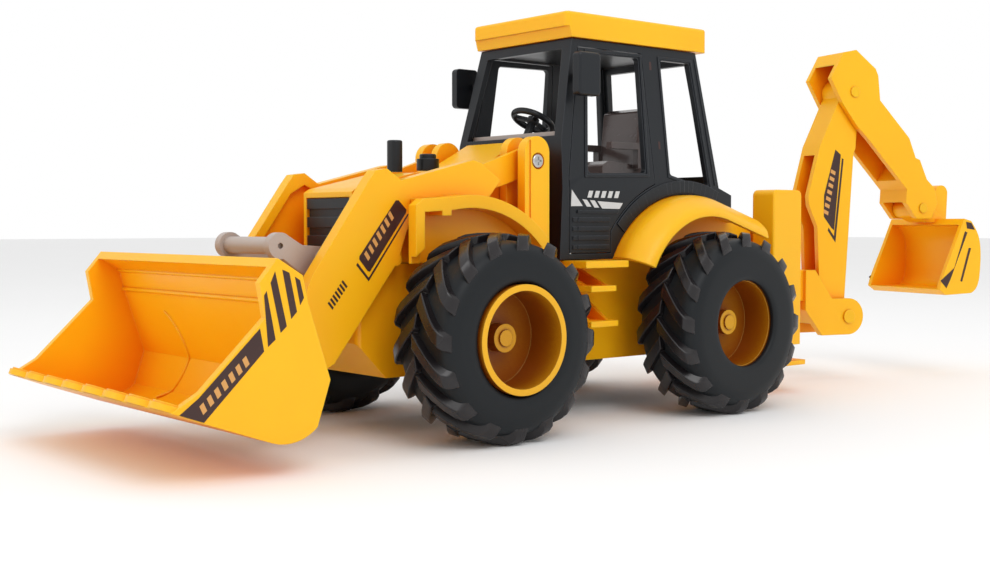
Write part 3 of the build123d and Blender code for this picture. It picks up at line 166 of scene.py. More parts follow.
plasticBase = {"cloudScale": 26.0, "grainScale": 1900.0, "grainDepth": 0.012, "edgeRadius": 0.45,
               "edgeHighlightGain": 3.0, "edgeHighlightMix": 0.45, "shadeReach": 22.0, "shadeStart": 0.2, "shadeGain": 1.25,
               "rough": 0.34, "roughSpread": 0.12, "scuffRough": 0.1}
yellowLook = {**plasticBase, "colour": (0.97, 0.5, 0.006), "colourToo": (0.93, 0.44, 0.004),
              "paintedShadeColour": (0.88, 0.17, 0.0), "edgeHighlightColour": (1.0, 0.64, 0.07), "glow": 0.22,
              "glowReach": (1.0, 0.45, 0.06), "glowScale": 3.0, "shine": 0.32}
# the rims take a deep painted shade in the dish of the wheel
rimLook = {**plasticBase, "colour": (0.82, 0.42, 0.008), "colourToo": (0.76, 0.37, 0.006),
           "paintedShadeColour": (0.26, 0.055, 0.0), "edgeHighlightColour": (0.92, 0.58, 0.08), "shadeReach": 30.0,
           "shadeStart": 0.16, "shadeGain": 2.2, "rough": 0.4, "shine": 0.35}
# the black plastic's pale bluish edge colour is a painted highlight
blackLook = {**plasticBase, "colour": (0.007, 0.009, 0.012), "colourToo": (0.011, 0.014, 0.018),
             "paintedShadeColour": (0.002, 0.002, 0.003), "edgeHighlightColour": (0.1, 0.11, 0.13), "edgeHighlightMix": 0.6,
             "rough": 0.34, "grainDepth": 0.02, "shine": 0.34}
greyLook = {**plasticBase, "colour": (0.47, 0.4, 0.36), "colourToo": (0.42, 0.35, 0.31),
            "paintedShadeColour": (0.2, 0.13, 0.1), "edgeHighlightColour": (0.62, 0.56, 0.52), "rough": 0.42}
smokeLook = {**plasticBase, "colour": (0.13, 0.092, 0.085), "colourToo": (0.1, 0.07, 0.065),
             "paintedShadeColour": (0.04, 0.026, 0.024), "edgeHighlightColour": (0.32, 0.26, 0.24), "rough": 0.2,
             "coat": 0.5}
nylonLook = {**plasticBase, "colour": (0.82, 0.8, 0.72), "colourToo": (0.78, 0.75, 0.66),
             "paintedShadeColour": (0.5, 0.46, 0.38), "edgeHighlightColour": (0.9, 0.89, 0.84), "rough": 0.45}


def rubber(name, look):
    s = Shader(name)
    where = s.make("ShaderNodeTexCoord", output="Object")
    dust = s.noise(where, 60.0, 5.0)
    grain = s.noise(where, 2600.0, 2.0)
    cloud = s.noise(where, 35.0, 2.0)
    rounded = s.make("ShaderNodeBevel", {"Radius": look["edgeRadius"] * mm}, samples=4)
    flat = s.make("ShaderNodeNewGeometry", output="Normal")
    alike = s.make("ShaderNodeVectorMath", {0: rounded, 1: flat}, output="Value", operation="DOT_PRODUCT")
    edgeHighlight = ((1 - alike) * 3.0).clamped()
    tone = s.mix(cloud, look["colour"], look["colourToo"])
    # random dust patches, plus a painted highlight that lightens rounded edges toward the dust colour
    tone = s.mix((dust - 0.52).clamped() * 0.5 + edgeHighlight * 0.25, tone, look["dust"])
    rough = look["rough"] + (dust - 0.5) * 0.18
    bump = s.make("ShaderNodeBump", {"Height": grain + cloud * 3.0, "Normal": rounded,
                                     "Distance": 0.014 * mm, "Strength": 1.0})
    return s.finish(Base_Color=tone, Roughness=rough, Normal=bump, IOR=1.5, Coat_Weight=look["coat"],
                    Coat_Roughness=0.3, Specular_IOR_Level=look["shine"])


def steel(name, look):
    s = Shader(name)
    where = s.make("ShaderNodeTexCoord", output="Object")
    brush = s.noise(s.make("ShaderNodeMapping", {"Vector": where, "Scale": look["brush"]}), 900.0, 3.0)
    stain = s.noise(where, 160.0, 3.0)
    rounded = s.make("ShaderNodeBevel", {"Radius": 0.25 * mm}, samples=4)
    tone = s.mix(stain, look["colour"], look["colourToo"])
    bump = s.make("ShaderNodeBump", {"Height": brush, "Normal": rounded, "Distance": 0.01 * mm})
    rough = look["rough"] + (brush - 0.5) * 0.25
    return s.finish(Base_Color=tone, Roughness=rough, Metallic=1.0, Normal=bump)


def printedFilm(name, look):
    # sticker film: slightly worn ink with a soft shine
    s = Shader(name)
    where = s.make("ShaderNodeTexCoord", output="Object")
    wear = s.noise(where, 700.0, 4.0)
    cloud = s.noise(where, 90.0, 2.0)
    tone = s.mix(cloud, look["colour"], look["colourToo"])
    tone = s.mix((wear - 0.62).clamped() * 3.0, tone, look["worn"])
    bump = s.make("ShaderNodeBump", {"Height": wear, "Distance": 0.006 * mm})
    return s.finish(Base_Color=tone, Roughness=look["rough"] + cloud * 0.1, Normal=bump)


materials = {
    "yellow_plastic": mouldedPlastic("yellowShell", yellowLook),
    "yellow_rim": mouldedPlastic("yellowRim", rimLook),
    "black_plastic": mouldedPlastic("blackCab", blackLook),
    "grey_plastic": mouldedPlastic("warmGrey", greyLook),
    "smoke_plastic": mouldedPlastic("smokySeat", smokeLook),
    "gear_nylon": mouldedPlastic("gearNylon", nylonLook),
    "tyre_rubber": rubber("tyreRubber", {"colour": (0.006, 0.008, 0.01), "colourToo": (0.01, 0.012, 0.014),
                                         "dust": (0.02, 0.021, 0.022), "rough": 0.44, "coat": 0.0, "shine": 0.24,
                                         "edgeRadius": 0.5}),
    "bright_steel": steel("brightSteel", {"colour": (0.62, 0.62, 0.6), "colourToo": (0.5, 0.5, 0.5),
                                          "brush": (0.2, 3.0, 3.0), "rough": 0.3}),
    "flywheel_metal": steel("flywheelSteel", {"colour": (0.25, 0.25, 0.26), "colourToo": (0.2, 0.2, 0.2),
                                              "brush": (3.0, 0.4, 0.4), "rough": 0.42}),
}
treadRubber = rubber("treadRubber", {"colour": (0.007, 0.006, 0.007), "colourToo": (0.012, 0.009, 0.01),
                                     "dust": (0.026, 0.02, 0.02), "rough": 0.26, "coat": 0.12, "shine": 0.4,
                                     "edgeRadius": 0.6})
darkFilm = printedFilm("darkFilm", {"colour": (0.03, 0.008, 0.006), "colourToo": (0.045, 0.014, 0.01),
                                    "worn": (0.12, 0.05, 0.03), "rough": 0.38})
goldFilm = printedFilm("goldFilm", {"colour": (0.72, 0.36, 0.1), "colourToo": (0.62, 0.3, 0.08),
                                    "worn": (0.35, 0.16, 0.06), "rough": 0.42})
silverFilm = printedFilm("silverFilm", {"colour": (0.66, 0.66, 0.65), "colourToo": (0.56, 0.56, 0.56),
                                        "worn": (0.3, 0.3, 0.3), "rough": 0.4})
print("materials made")


# ---- making pieces
def finishPiece(name, mesh, material, body, stoodFor=(), smooth=32):
    obj = bpy.data.objects.new(name, mesh)
    bpy.context.scene.collection.objects.link(obj)
    mesh.materials.clear()
    mesh.materials.append(material)
    mesh.shade_smooth()
    mesh.set_sharp_from_angle(angle=math.radians(smooth))
    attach(obj, body)
    if stoodFor:
        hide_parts(*stoodFor)
    return obj


def meshOf(bm, name):
    mesh = bpy.data.meshes.new(name)
    bm.to_mesh(mesh)
    bm.free()
    if "custom_normal" in mesh.attributes:  # corner normals of the unmerged mesh
        mesh.attributes.remove(mesh.attributes["custom_normal"])
    return mesh


def mouldedNode(node):
    # the CAD node's own shape with joined vertices and soft shading
    bm = bmesh.new()
    bm.from_mesh(frame["nodes"][node].data)
    bmesh.ops.remove_doubles(bm, verts=bm.verts, dist=0.002 * mm)
    bmesh.ops.dissolve_degenerate(bm, edges=bm.edges, dist=0.001 * mm)
    piece = finishPiece("skin_" + node, meshOf(bm, "skin_" + node), materials[slotOf[node]], bodyOf[node],
                        (node,))
    weighted = piece.modifiers.new("faceWeights", "WEIGHTED_NORMAL")
    weighted.keep_sharp = True
    return piece


detailed = {f"{end}_tyre_{hand}" for end in ("front", "rear") for hand in ("left", "right")}
for node in frame["nodes"]:
    if node not in detailed:
        mouldedNode(node)
print("moulded pieces finished:", len(frame["nodes"]) - len(detailed))


# ---- repeats
def repeatTree():
    # copies the mesh it is given: each copy is turned about the pivot and stepped on
    tree = bpy.data.node_groups.new("repeatPiece", "GeometryNodeTree")
    add = tree.interface.new_socket
    add("Geometry", in_out="INPUT", socket_type="NodeSocketGeometry")
    add("Count", in_out="INPUT", socket_type="NodeSocketInt")
    add("Turn", in_out="INPUT", socket_type="NodeSocketVector")
    add("Step", in_out="INPUT", socket_type="NodeSocketVector")
    add("Pivot", in_out="INPUT", socket_type="NodeSocketVector")
    add("Finish", in_out="INPUT", socket_type="NodeSocketMaterial")
    add("Geometry", in_out="OUTPUT", socket_type="NodeSocketGeometry")
    new, link = tree.nodes.new, tree.links.new
    given, result = new("NodeGroupInput"), new("NodeGroupOutput")
    group = new("GeometryNodeGeometryToInstance")
    link(given.outputs["Geometry"], group.inputs[0])
    copies = new("GeometryNodeDuplicateElements")
    copies.domain = "INSTANCE"
    link(group.outputs[0], copies.inputs["Geometry"])
    link(given.outputs["Count"], copies.inputs["Amount"])

    def times(vector):
        scale = new("ShaderNodeVectorMath")
        scale.operation = "SCALE"
        link(vector, scale.inputs[0])
        link(copies.outputs["Duplicate Index"], scale.inputs["Scale"])
        return scale.outputs[0]

    turned = new("GeometryNodeRotateInstances")
    link(copies.outputs["Geometry"], turned.inputs["Instances"])
    link(times(given.outputs["Turn"]), turned.inputs["Rotation"])
    link(given.outputs["Pivot"], turned.inputs["Pivot Point"])
    turned.inputs["Local Space"].default_value = False
    moved = new("GeometryNodeTranslateInstances")
    link(turned.outputs[0], moved.inputs["Instances"])
    link(times(given.outputs["Step"]), moved.inputs["Translation"])
    moved.inputs["Local Space"].default_value = False
    real = new("GeometryNodeRealizeInstances")
    link(moved.outputs[0], real.inputs[0])
    finish = new("GeometryNodeSetMaterial")
    link(real.outputs[0], finish.inputs["Geometry"])
    link(given.outputs["Finish"], finish.inputs["Material"])
    link(finish.outputs[0], result.inputs[0])
    return tree


repeater = repeatTree()


def repeated(mesh, count, material, turn=(0, 0, 0), step=(0, 0, 0), pivot=(0, 0, 0)):
    # the repeated mesh as a plain mesh
    obj = bpy.data.objects.new("repeatSource", mesh)
    bpy.context.scene.collection.objects.link(obj)
    modifier = obj.modifiers.new("repeat", "NODES")
    modifier.node_group = repeater
    values = {"Count": count, "Turn": turn, "Step": step, "Pivot": pivot, "Finish": material}
    for item in repeater.interface.items_tree:
        if item.in_out == "INPUT" and item.name in values:
            modifier[item.identifier] = values[item.name]
    bpy.context.view_layer.update()
    graph = bpy.context.evaluated_depsgraph_get()
    result = bpy.data.meshes.new_from_object(obj.evaluated_get(graph))
    obj.modifiers.remove(modifier)
    bpy.data.objects.remove(obj)
    return result


# ---- tyres
cab = {"half": 30.0, "topHalf": 25.0, "waist": 81.0, "top": 134.0}
tyre = {"outerFace": 61.0, "width": 26.6, "radius": 33.0, "lugs": 16, "lugFoot": 6.6, "lugTop": 4.6,
        "slant": 46.0, "segments": 96, "crown": 30.65, "lugEdge": 0.35}
# across the tyre, foot radius, top radius
lugStations = [(-0.6, 30.0, 33.0), (3.0, 30.0, 33.0), (6.5, 29.8, 33.0), (9.3, 29.2, 32.8), (11.0, 28.6, 32.2),
               (12.0, 28.0, 30.9), (12.5, 27.4, 28.7)]
carcass = [(11.6, 17.55), (12.7, 18.1), (13.25, 19.8), (13.3, 22.6), (13.1, 25.4), (12.3, 27.9),
           (10.6, 29.6), (8.0, 30.35), (4.0, 30.6)]
lipped = [(10.9, 17.55), (10.95, 15.75), (11.6, 15.45), (12.6, 15.55), (13.15, 16.4), (13.3, 18.2)]


def smoothRun(points, steps):
    # a Catmull-Rom line through the points
    line = []
    ends = [points[0]] + points + [points[-1]]
    for a, b, c, d in zip(ends, ends[1:], ends[2:], ends[3:]):
        for k in range(steps):
            t = k / steps
            line.append(tuple(0.5 * (2 * b[i] + (c[i] - a[i]) * t + (2 * a[i] - 5 * b[i] + 4 * c[i] - d[i])
                                     * t * t + (3 * b[i] - a[i] - 3 * c[i] + d[i]) * t ** 3)
                              for i in range(2)))
    return line + [points[-1]]


def spun(bm, profile, axle, middle, segments):
    # closed ring from a loop of (across, radius) in millimetres round the axle
    rings = []
    for k in range(segments):
        a = 2 * math.pi * k / segments
        rings.append([bm.verts.new((middle + x * mm, axle.y + r * mm * math.cos(a),
                                    axle.z + r * mm * math.sin(a))) for x, r in profile])
    for k, ring in enumerate(rings):
        after = rings[(k + 1) % segments]
        for i in range(len(profile)):
            j = (i + 1) % len(profile)
            bm.faces.new((ring[i], ring[j], after[j], after[i]))
    bmesh.ops.recalc_face_normals(bm, faces=bm.faces)


def lugMesh(axle, middle, hand, phase):
    # one slanted lug from past the middle of the tread over the shoulder, as stations across the tyre
    spread = math.radians(tyre["slant"])
    bm = bmesh.new()
    stations = []
    for x, low, high in lugStations:
        lead = phase + x * math.tan(spread) / tyre["radius"]
        row = []
        for half, r in ((-tyre["lugFoot"] / 2, low), (-tyre["lugTop"] / 2, high), (tyre["lugTop"] / 2, high),
                        (tyre["lugFoot"] / 2, low)):
            a = lead + half / tyre["radius"]
            row.append(bm.verts.new((middle + hand * x * mm, axle.y + r * mm * math.cos(a),
                                     axle.z + r * mm * math.sin(a))))
        stations.append(row)
    for one, two in zip(stations, stations[1:]):
        for i in range(4):
            j = (i + 1) % 4
            bm.faces.new((one[i], one[j], two[j], two[i]))
    bm.faces.new(stations[0])
    bm.faces.new(stations[-1])
    bmesh.ops.recalc_face_normals(bm, faces=bm.faces)
    return meshOf(bm, "lug")


def makeTyre(end, hand, axle, body, covered):
    side = 1 if hand == "left" else -1
    middle = side * (tyre["outerFace"] - tyre["width"] / 2) * mm
    outer = smoothRun(lipped + carcass[3:] if covered else carcass, 4)
    inner = [(-x, r) for x, r in smoothRun(carcass, 4)]
    profile = outer + [(0.0, tyre["crown"])] + inner[::-1]
    if side < 0:
        profile = [(-x, r) for x, r in profile]
    bm = bmesh.new()
    spun(bm, profile, axle, middle, tyre["segments"])
    name = f"{end}_{hand}_tyre"
    casing = meshOf(bm, name)
    finishPiece(name + "_casing", casing, materials["tyre_rubber"], body,
                (f"{end}_tyre_{hand}",), 50)
    pitch = 2 * math.pi / tyre["lugs"]
    whole = bmesh.new()
    for lugHand, phase in ((1, 0.0), (-1, pitch / 2)):
        lugs = repeated(lugMesh(axle, middle, lugHand, phase), tyre["lugs"], treadRubber, turn=(pitch, 0, 0),
                        pivot=tuple(axle))
        whole.from_mesh(lugs)
    piece = finishPiece(name + "_lugs", meshOf(whole, name + "_lugs"), treadRubber, body, (), 30)
    edges = piece.modifiers.new("lugEdges", "BEVEL")
    edges.width = tyre["lugEdge"] * mm
    edges.segments = 2
    edges.limit_method = "ANGLE"
    edges.angle_limit = math.radians(35)


for end, axle, body in (("front", frontAxle, "front_wheels"), ("rear", rearAxle, "rear_wheels")):
    for hand in ("left", "right"):
        makeTyre(end, hand, axle, body, end == "rear")
print("tyres made")


# ---- flat stuck-on and raised shapes
def sidePlane(across):
    # (origin, back, up, out) of a plane facing sideways, measured back from the front axle
    return (Vector((across * mm, frontAxle.y, 0)), Vector((0, 1, 0)), Vector((0, 0, 1)),
            Vector((math.copysign(1, across), 0, 0)))


def leanedSide(hand):
    # the cab's side above the waist, which leans in
    lean = (cab["half"] - cab["topHalf"]) / (cab["top"] - cab["waist"])
    foot = cab["half"] + lean * cab["waist"]
    return (Vector((hand * foot * mm, frontAxle.y, 0)), Vector((0, 1, 0)), Vector((-hand * lean, 0, 1)),
            Vector((hand, 0, lean)).normalized())


def swingPlane(out):
    # a plane along the digging arm, measured back from the kingpost
    return (Vector((kingpost.x, kingpost.y, 0)) + swingSide * out * mm, swingBack, Vector((0, 0, 1)),
            swingSide * math.copysign(1, out))


def slab(bm, plane, outline, low, high):
    # closed prism over an outline of (back, up) in millimetres, between two heights off the plane
    origin, back, up, out = plane
    under = [bm.verts.new(origin + back * a * mm + up * b * mm + out * low * mm) for a, b in outline]
    over = [bm.verts.new(origin + back * a * mm + up * b * mm + out * high * mm) for a, b in outline]
    faces = [bm.faces.new(under[::-1]), bm.faces.new(over)]
    for i in range(len(outline)):
        j = (i + 1) % len(outline)
        faces.append(bm.faces.new((under[i], under[j], over[j], over[i])))
    bmesh.ops.recalc_face_normals(bm, faces=faces)


def stuckOn(name, plane, outlines, material, body, low=-0.05, high=0.06):
    bm = bmesh.new()
    for outline in outlines:
        slab(bm, plane, outline, low, high)
    return finishPiece(name, meshOf(bm, name), material, body)


def bars(start, along, size, count, pitch, slant):
    # a row of slanted bars along a direction, as outlines
    (sx, sy), (ax, ay) = start, along
    shapes = []
    for k in range(count):
        x, y = sx + ax * pitch * k, sy + ay * pitch * k
        w, h = size
        px, py = -ay, ax
        shapes.append([(x, y), (x + ax * w, y + ay * w),
                       (x + ax * (w + slant) + px * h, y + ay * (w + slant) + py * h),
                       (x + ax * slant + px * h, y + ay * slant + py * h)])
    return shapes


film = {"arm": 26.7, "bucket": 57.5, "boom": 6.2, "digger": 24.0, "door": 30.0}
armPlate = [(-23.7, 76.1), (-22.6, 76.1), (-19.6, 73.2), (-19.8, 72.2), (-33.6, 53.9), (-34.5, 54.1),
            (-37.5, 57.7), (-37.5, 58.7)]
armFrame = [(-18.5, 71.9), (-34.1, 50.9), (-38.7, 56.0), (-38.2, 56.7), (-34.1, 52.0), (-19.1, 71.9)]
armBars = bars((-34.3, 57.2), (0.59, 0.807), (1.3, 2.5), 7, 2.55, 0.9)
armTicks = bars((-47.4, 42.6), (0.62, 0.785), (0.75, 2.6), 7, 1.35, 0.5)
bucketBand = [(-90.0, 40.9), (-88.8, 34.7), (-106.6, 17.3), (-113.5, 19.8), (-108.0, 23.8)]
bucketStripes = [[(-87.9, 50.8), (-88.7, 49.6), (-87.6, 35.8), (-85.3, 37.7)],
                 [(-85.3, 56.0), (-86.7, 52.9), (-83.7, 39.4), (-81.8, 41.1)],
                 [(-83.1, 56.4), (-80.9, 55.5), (-78.6, 44.9), (-80.4, 43.0)],
                 [(-79.2, 54.4), (-77.6, 53.4), (-76.4, 48.6), (-77.6, 46.6)]]
bandBars = bars((-106.8, 19.4), (0.742, 0.67), (1.5, 2.4), 7, 2.8, 0.7)
boomPlate = [(28.9, 101.6), (31.8, 99.4), (31.4, 94.7), (28.6, 66.0), (27.2, 67.0), (23.0, 72.0),
             (23.0, 81.3)]
boomFrame = [(32.5, 97.8), (33.4, 97.5), (29.4, 60.6), (25.2, 65.9), (25.6, 67.2), (28.6, 63.4)]
boomBars = bars((25.2, 72.6), (0.2, 0.98), (1.6, 2.6), 7, 3.0, 0.6)
diggerMarks = [[(86.9, 65.6), (81.0, 49.3), (73.2, 43.6), (76.6, 40.2), (79.0, 44.4), (88.3, 65.0)],
               [(90.5, 58.0), (89.2, 58.1), (84.6, 43.4), (85.6, 42.9)],
               [(87.4, 69.8), (90.6, 69.3), (92.6, 66.2), (88.0, 66.8)]]
doorMarks = [[(48.9, 80.7), (48.6, 74.9), (54.2, 75.0)], [(54.0, 77.4), (56.2, 77.2), (58.4, 74.8), (56.2, 74.8)],
             [(57.7, 77.1), (60.0, 77.0), (62.2, 74.5), (59.9, 74.5)],
             [(61.4, 76.8), (74.1, 76.2), (72.4, 74.1), (63.7, 74.2)]]
doorBars = bars((56.4, 78.0), (1.0, 0.0), (2.0, 2.4), 5, 3.3, 0.9)

for side, hand in ((1, "left"), (-1, "right")):
    arm, tub, door = (sidePlane(side * film[name]) for name in ("arm", "bucket", "door"))
    boom, digger = (swingPlane(side * film[name]) for name in ("boom", "digger"))
    stuckOn(f"arm_plate_{hand}", arm, [armPlate, armFrame] + armTicks, darkFilm, "loader_arms")
    stuckOn(f"arm_bars_{hand}", arm, armBars, goldFilm, "loader_arms", 0.02, 0.1)
    stuckOn(f"bucket_band_{hand}", tub, [bucketBand] + bucketStripes, darkFilm, "loader_bucket")
    stuckOn(f"bucket_bars_{hand}", tub, bandBars, goldFilm, "loader_bucket", 0.02, 0.1)
    stuckOn(f"boom_plate_{hand}", boom, [boomPlate, boomFrame], darkFilm, "boom")
    stuckOn(f"boom_bars_{hand}", boom, boomBars, goldFilm, "boom", 0.02, 0.1)
    stuckOn(f"digger_marks_{hand}", digger, diggerMarks, darkFilm, "backhoe_bucket")
    stuckOn(f"door_marks_{hand}", door, doorMarks + doorBars, silverFilm, f"door_{hand}")
print("stickers made")


# ---- raised details
def ring(outline, gap, width):
    # a frame round an outline, as one four-cornered outline per side
    centre = Vector((sum(a for a, b in outline), sum(b for a, b in outline))) / len(outline)
    count = len(outline)

    def grown(by):
        corners = []
        for i in range(count):
            before, here, after = (Vector(outline[(i + k) % count]) for k in (-1, 0, 1))
            one, two = (here - before).normalized(), (after - here).normalized()
            normals = [Vector((n.y, -n.x)) for n in (one, two)]
            normals = [n if n.dot(here - centre) > 0 else -n for n in normals]
            corner = (normals[0] + normals[1]).normalized()
            corners.append(tuple(here + corner * by / corner.dot(normals[0])))
        return corners

    near, far = grown(gap), grown(gap + width)
    return [[near[i], near[(i + 1) % count], far[(i + 1) % count], far[i]] for i in range(count)]


def band(middle, look):
    # an arc-shaped strip in the side plane, as outlines
    shapes = []
    near, far = look["radii"]
    swept = look["to"] - look["from"]
    for k in range(look["steps"]):
        one, two = (math.radians(look["from"] + swept * i / look["steps"]) for i in (k, k + 1))
        shapes.append([(middle[0] + r * math.cos(a), middle[1] + r * math.sin(a))
                       for a, r in ((one, near), (two, near), (two, far), (one, far))])
    return shapes


def bead(bm, points, radius, sides=8):
    # a rounded rib along points given in millimetres
    path = [Vector(p) * mm for p in points]
    rings = []
    for i, here in enumerate(path):
        along = (path[min(i + 1, len(path) - 1)] - path[max(i - 1, 0)]).normalized()
        across = along.cross(Vector((0, 0.6, 0.8))).normalized()
        over = along.cross(across)
        rings.append([bm.verts.new(here + (across * math.cos(a) + over * math.sin(a)) * radius * mm)
                      for a in (2 * math.pi * k / sides for k in range(sides))])
    for one, two in zip(rings, rings[1:]):
        for i in range(sides):
            j = (i + 1) % sides
            bm.faces.new((one[i], one[j], two[j], two[i]))
    bm.faces.new(rings[0])
    bm.faces.new(rings[-1])
    bmesh.ops.recalc_face_normals(bm, faces=bm.faces)


doorPane = [(60.6, 129.0), (86.4, 129.4), (86.6, 87.4), (57.2, 86.6)]
quarterPane = [(98.0, 129.6), (114.0, 129.6), (120.8, 83.0), (108.0, 85.0), (99.6, 87.0)]
pillarRib = [(116.9, 131.5), (117.6, 131.5), (124.9, 83.4), (124.2, 83.4)]
# painted shade: two flat dark marks where the slots in the cab side lie in shade
slotShadeMarks = [[(92.0, 128.6), (93.1, 128.6), (93.1, 125.6), (92.0, 125.6)],
            [(94.2, 99.2), (95.2, 99.2), (95.3, 96.4), (94.3, 96.4)]]
archMiddle = (106.6, 38.0)
archBand = {"radii": (42.4, 47.0), "from": 139, "to": 66, "steps": 24}
louvre = {"low": 59.9, "pitch": 3.2, "height": 1.5, "from": 51.5, "to": 67.0, "rise": 0.95}
shelf = [(51.5, 72.4), (71.0, 72.4), (71.8, 73.6), (51.5, 73.6)]


def louvreRibs(hand, name):
    plane = sidePlane(hand * (cab["half"] - 0.2))
    bm = bmesh.new()
    top = louvre["low"] + louvre["height"]
    slab(bm, plane, [(louvre["from"], louvre["low"]), (louvre["to"], louvre["low"]), (louvre["to"], top),
                     (louvre["from"], top)], 0.0, louvre["rise"])
    mesh = repeated(meshOf(bm, name), 4, materials["black_plastic"], step=(0, 0, louvre["pitch"] * mm))
    finishPiece(name, mesh, materials["black_plastic"], "door_left" if hand > 0 else "door_right")


black = materials["black_plastic"]
for side, hand in ((1, "left"), (-1, "right")):
    leaned, upright = leanedSide(side), sidePlane(side * cab["half"])
    stuckOn(f"door_pane_frame_{hand}", leaned, ring(doorPane, 0.5, 1.0), black, f"door_{hand}",
            -0.1, 0.35)
    stuckOn(f"quarter_pane_frame_{hand}", leaned, ring(quarterPane, 0.5, 0.8) + [pillarRib], black, "vehicle",
            -0.1, 0.3)
    stuckOn(f"slot_shade_{hand}", leaned, slotShadeMarks, darkFilm, "vehicle", -0.05, 0.03)
    stuckOn(f"door_shelf_{hand}", upright, [shelf], black, f"door_{hand}", -0.1, 0.5)
    stuckOn(f"cab_arch_band_{hand}", upright, band(archMiddle, archBand), black, "vehicle",
            -0.3, 0.5)
    louvreRibs(side, f"door_louvres_{hand}")
print("cab details made")


tubWall = [(11.9, -80.4), (14.6, -74.2), (25.6, -70.6), (47.0, -77.6), (53.3, -79.2), (56.7, -84.8)]


def tubWallAt(height):
    # the inside of the bucket's back, measured back from the front axle
    for (z0, y0), (z1, y1) in zip(tubWall, tubWall[1:]):
        if height <= z1:
            return y0 + (y1 - y0) * (height - z0) / (z1 - z0)
    return tubWall[-1][1]


tubInside = {"inside": 55.2, "ribs": ((47.0, 0.8), (53.3, 0.7)), "arcMiddle": (-37.5, 27.0),
             "arcRadius": 16.0, "arcFrom": -62, "arcStep": 5, "arcPoints": 25, "arcRib": 0.5}


def tubRibs():
    bm = bmesh.new()
    frontBack = frontAxle.y / mm
    for height, radius in tubInside["ribs"]:
        y = frontBack + tubWallAt(height)
        bead(bm, [(-tubInside["inside"], y, height), (tubInside["inside"], y, height)], radius)
    (across, up), reach = tubInside["arcMiddle"], tubInside["arcRadius"]
    arc = []
    for k in range(tubInside["arcPoints"]):
        a = math.radians(tubInside["arcFrom"] + tubInside["arcStep"] * k)
        x, z = across + reach * math.cos(a), up + reach * math.sin(a)
        arc.append((x, frontBack + tubWallAt(z), z))
    bead(bm, arc, tubInside["arcRib"])
    finishPiece("bucket_inside_ribs", meshOf(bm, "bucket_inside_ribs"), materials["yellow_plastic"],
                "loader_bucket", (), 60)


tubRibs()
teeth = {"count": 8, "back": -111.2, "height": 19.9, "tilt": 21.0, "radius": 5.9, "forward": 0.4,
         "from": 0.4, "to": 1.5}


def toothPads():
    # a raised scallop on each tooth of the bucket's lip
    pitch = 2 * film["bucket"] / teeth["count"]
    tilt = math.radians(teeth["tilt"])
    origin = Vector(((-film["bucket"] + pitch / 2) * mm, frontAxle.y + teeth["back"] * mm,
                     teeth["height"] * mm))
    plane = (origin, Vector((1, 0, 0)), Vector((0, math.cos(tilt), -math.sin(tilt))),
             Vector((0, math.sin(tilt), math.cos(tilt))))
    outline = [(teeth["radius"] * math.cos(a), teeth["radius"] * math.sin(a) - teeth["forward"])
               for a in (2 * math.pi * k / 32 for k in range(32))]
    bm = bmesh.new()
    slab(bm, plane, outline, teeth["from"], teeth["to"])
    yellow = materials["yellow_plastic"]
    mesh = repeated(meshOf(bm, "tooth_pads"), teeth["count"], yellow, step=(pitch * mm, 0, 0))
    finishPiece("tooth_pads", mesh, yellow, "loader_bucket")


toothPads()


def pinCap(name, plane, spot, look, material, body):
    # a low round cap over the end of a pin
    outline = [(spot[0] + look["radius"] * math.cos(t), spot[1] + look["radius"] * math.sin(t))
               for t in (2 * math.pi * k / 28 for k in range(28))]
    stuckOn(name, plane, [outline], material, body, -0.1, look["rise"])


# where each pin lies along the digging arm, how far out its cap sits, and the body it is fixed in
swingCaps = {"foot": {"spot": (34.2, 28.0), "out": 10.3, "radius": 3.0, "rise": 0.3, "body": "swing_casting"},
             "head": {"spot": (37.0, 127.0), "out": 9.3, "radius": 2.4, "rise": 0.3, "body": "dipper"},
             "wrist": {"spot": (76.0, 76.0), "out": 9.3, "radius": 2.2, "rise": 0.3, "body": "dipper"}}
hubCap = {"inset": 9.0, "radius": 2.6, "rise": 0.6}
for side, hand in ((1, "left"), (-1, "right")):
    for name, look in swingCaps.items():
        pinCap(f"{name}_cap_{hand}", swingPlane(side * look["out"]), look["spot"], look,
               materials["yellow_plastic"], look["body"])
    for axle, body in ((frontAxle, "front_wheels"), (rearAxle, "rear_wheels")):
        hubFace = Vector((side * (tyre["outerFace"] - hubCap["inset"]) * mm, axle.y, axle.z))
        plane = (hubFace, Vector((0, 1, 0)), Vector((0, 0, 1)), Vector((side, 0, 0)))
        pinCap(f"{body}_cap_{hand}", plane, (0, 0), hubCap, materials["yellow_rim"], body)
print("bucket details and caps made")


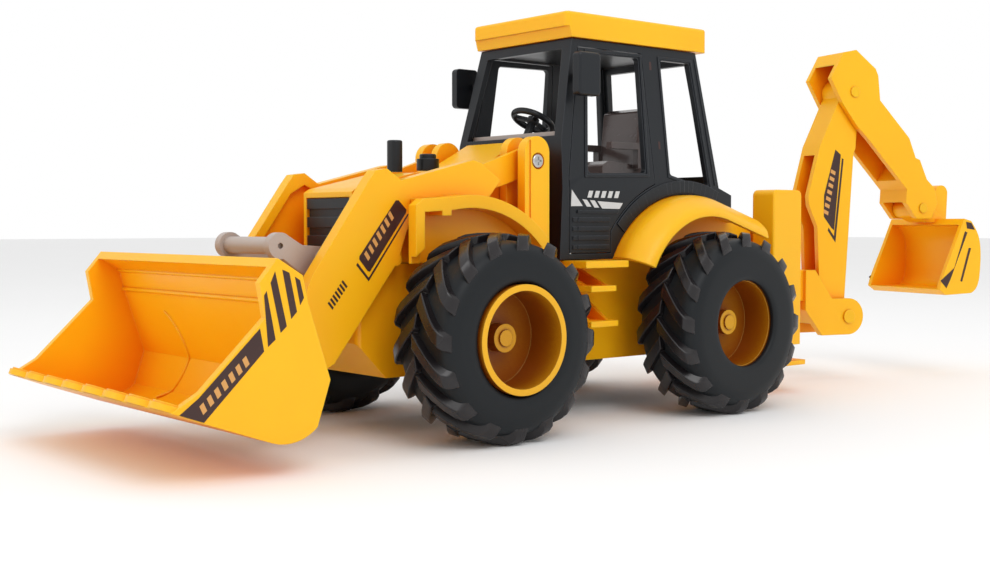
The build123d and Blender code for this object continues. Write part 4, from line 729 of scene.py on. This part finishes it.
# ---- floor, light and camera
def makeStage():
    bpy.ops.mesh.primitive_plane_add(size=12, location=(0, 0, cadLow.z))
    floor = bpy.context.object
    floor.name = "floor"
    s = Shader("paleFloor")
    where = s.make("ShaderNodeTexCoord", output="Object")
    tone = s.mix(s.noise(where, 3.0), (0.97, 0.97, 0.97), (0.95, 0.95, 0.95))
    floor.data.materials.append(s.finish(Base_Color=tone, Roughness=0.9))
    world = bpy.data.worlds.new("softSky")
    bpy.context.scene.world = world
    world.use_nodes = True
    tree = world.node_tree
    sky = tree.nodes["Background"]
    sky.inputs["Color"].default_value = (1, 1, 1, 1)
    # plain white behind the toy, a weaker sky for the light that falls on it
    paths = tree.nodes.new("ShaderNodeLightPath")
    strength = tree.nodes.new("ShaderNodeMapRange")
    strength.inputs["To Min"].default_value = light["sky"]
    strength.inputs["To Max"].default_value = 1.0
    tree.links.new(paths.outputs["Is Camera Ray"], strength.inputs["Value"])
    tree.links.new(strength.outputs["Result"], sky.inputs["Strength"])


def areaLight(name, place, target, size, power):
    data = bpy.data.lights.new(name, "AREA")
    data.shape = "RECTANGLE"
    data.size, data.size_y = size
    data.energy = power
    obj = bpy.data.objects.new(name, data)
    obj.location = place
    obj.rotation_euler = (Vector(target) - Vector(place)).to_track_quat("-Z", "Y").to_euler()
    bpy.context.scene.collection.objects.link(obj)


light = {"sky": 0.86, "key": 2.6, "front": 0.7, "top": 0.9}
makeStage()
centre = (cadLow + cadHigh) / 2
lamps = {"key": ((0.7, -0.25, 0.75), (0.5, 0.5)), "front": ((-0.1, -0.95, 0.35), (0.6, 0.4)),
         "top": ((0.0, 0.1, 1.0), (0.9, 0.7))}
for name, (place, size) in lamps.items():
    areaLight(name, place, centre, size, light[name])

camera = {"place": (0.36529, -0.35471, 0.06832), "azimuth": 50.153, "pitch": -2.408, "lens": 47.92,
          "sensor": 36}
azimuth, pitch = math.radians(camera["azimuth"]), math.radians(camera["pitch"])
ahead = Vector((-math.sin(azimuth) * math.cos(pitch), math.cos(azimuth) * math.cos(pitch), math.sin(pitch)))
eye = bpy.data.objects.new("eye", bpy.data.cameras.new("eye"))
eye.data.sensor_width = camera["sensor"]
eye.data.lens = camera["lens"]
eye.data.clip_start = 0.01
eye.location = camera["place"]
eye.rotation_mode = "QUATERNION"
eye.rotation_quaternion = ahead.to_track_quat("-Z", "Y")
bpy.context.scene.collection.objects.link(eye)
bpy.context.scene.camera = eye
bpy.context.scene.view_settings.view_transform = "Standard"
print("stage, lights and camera made")
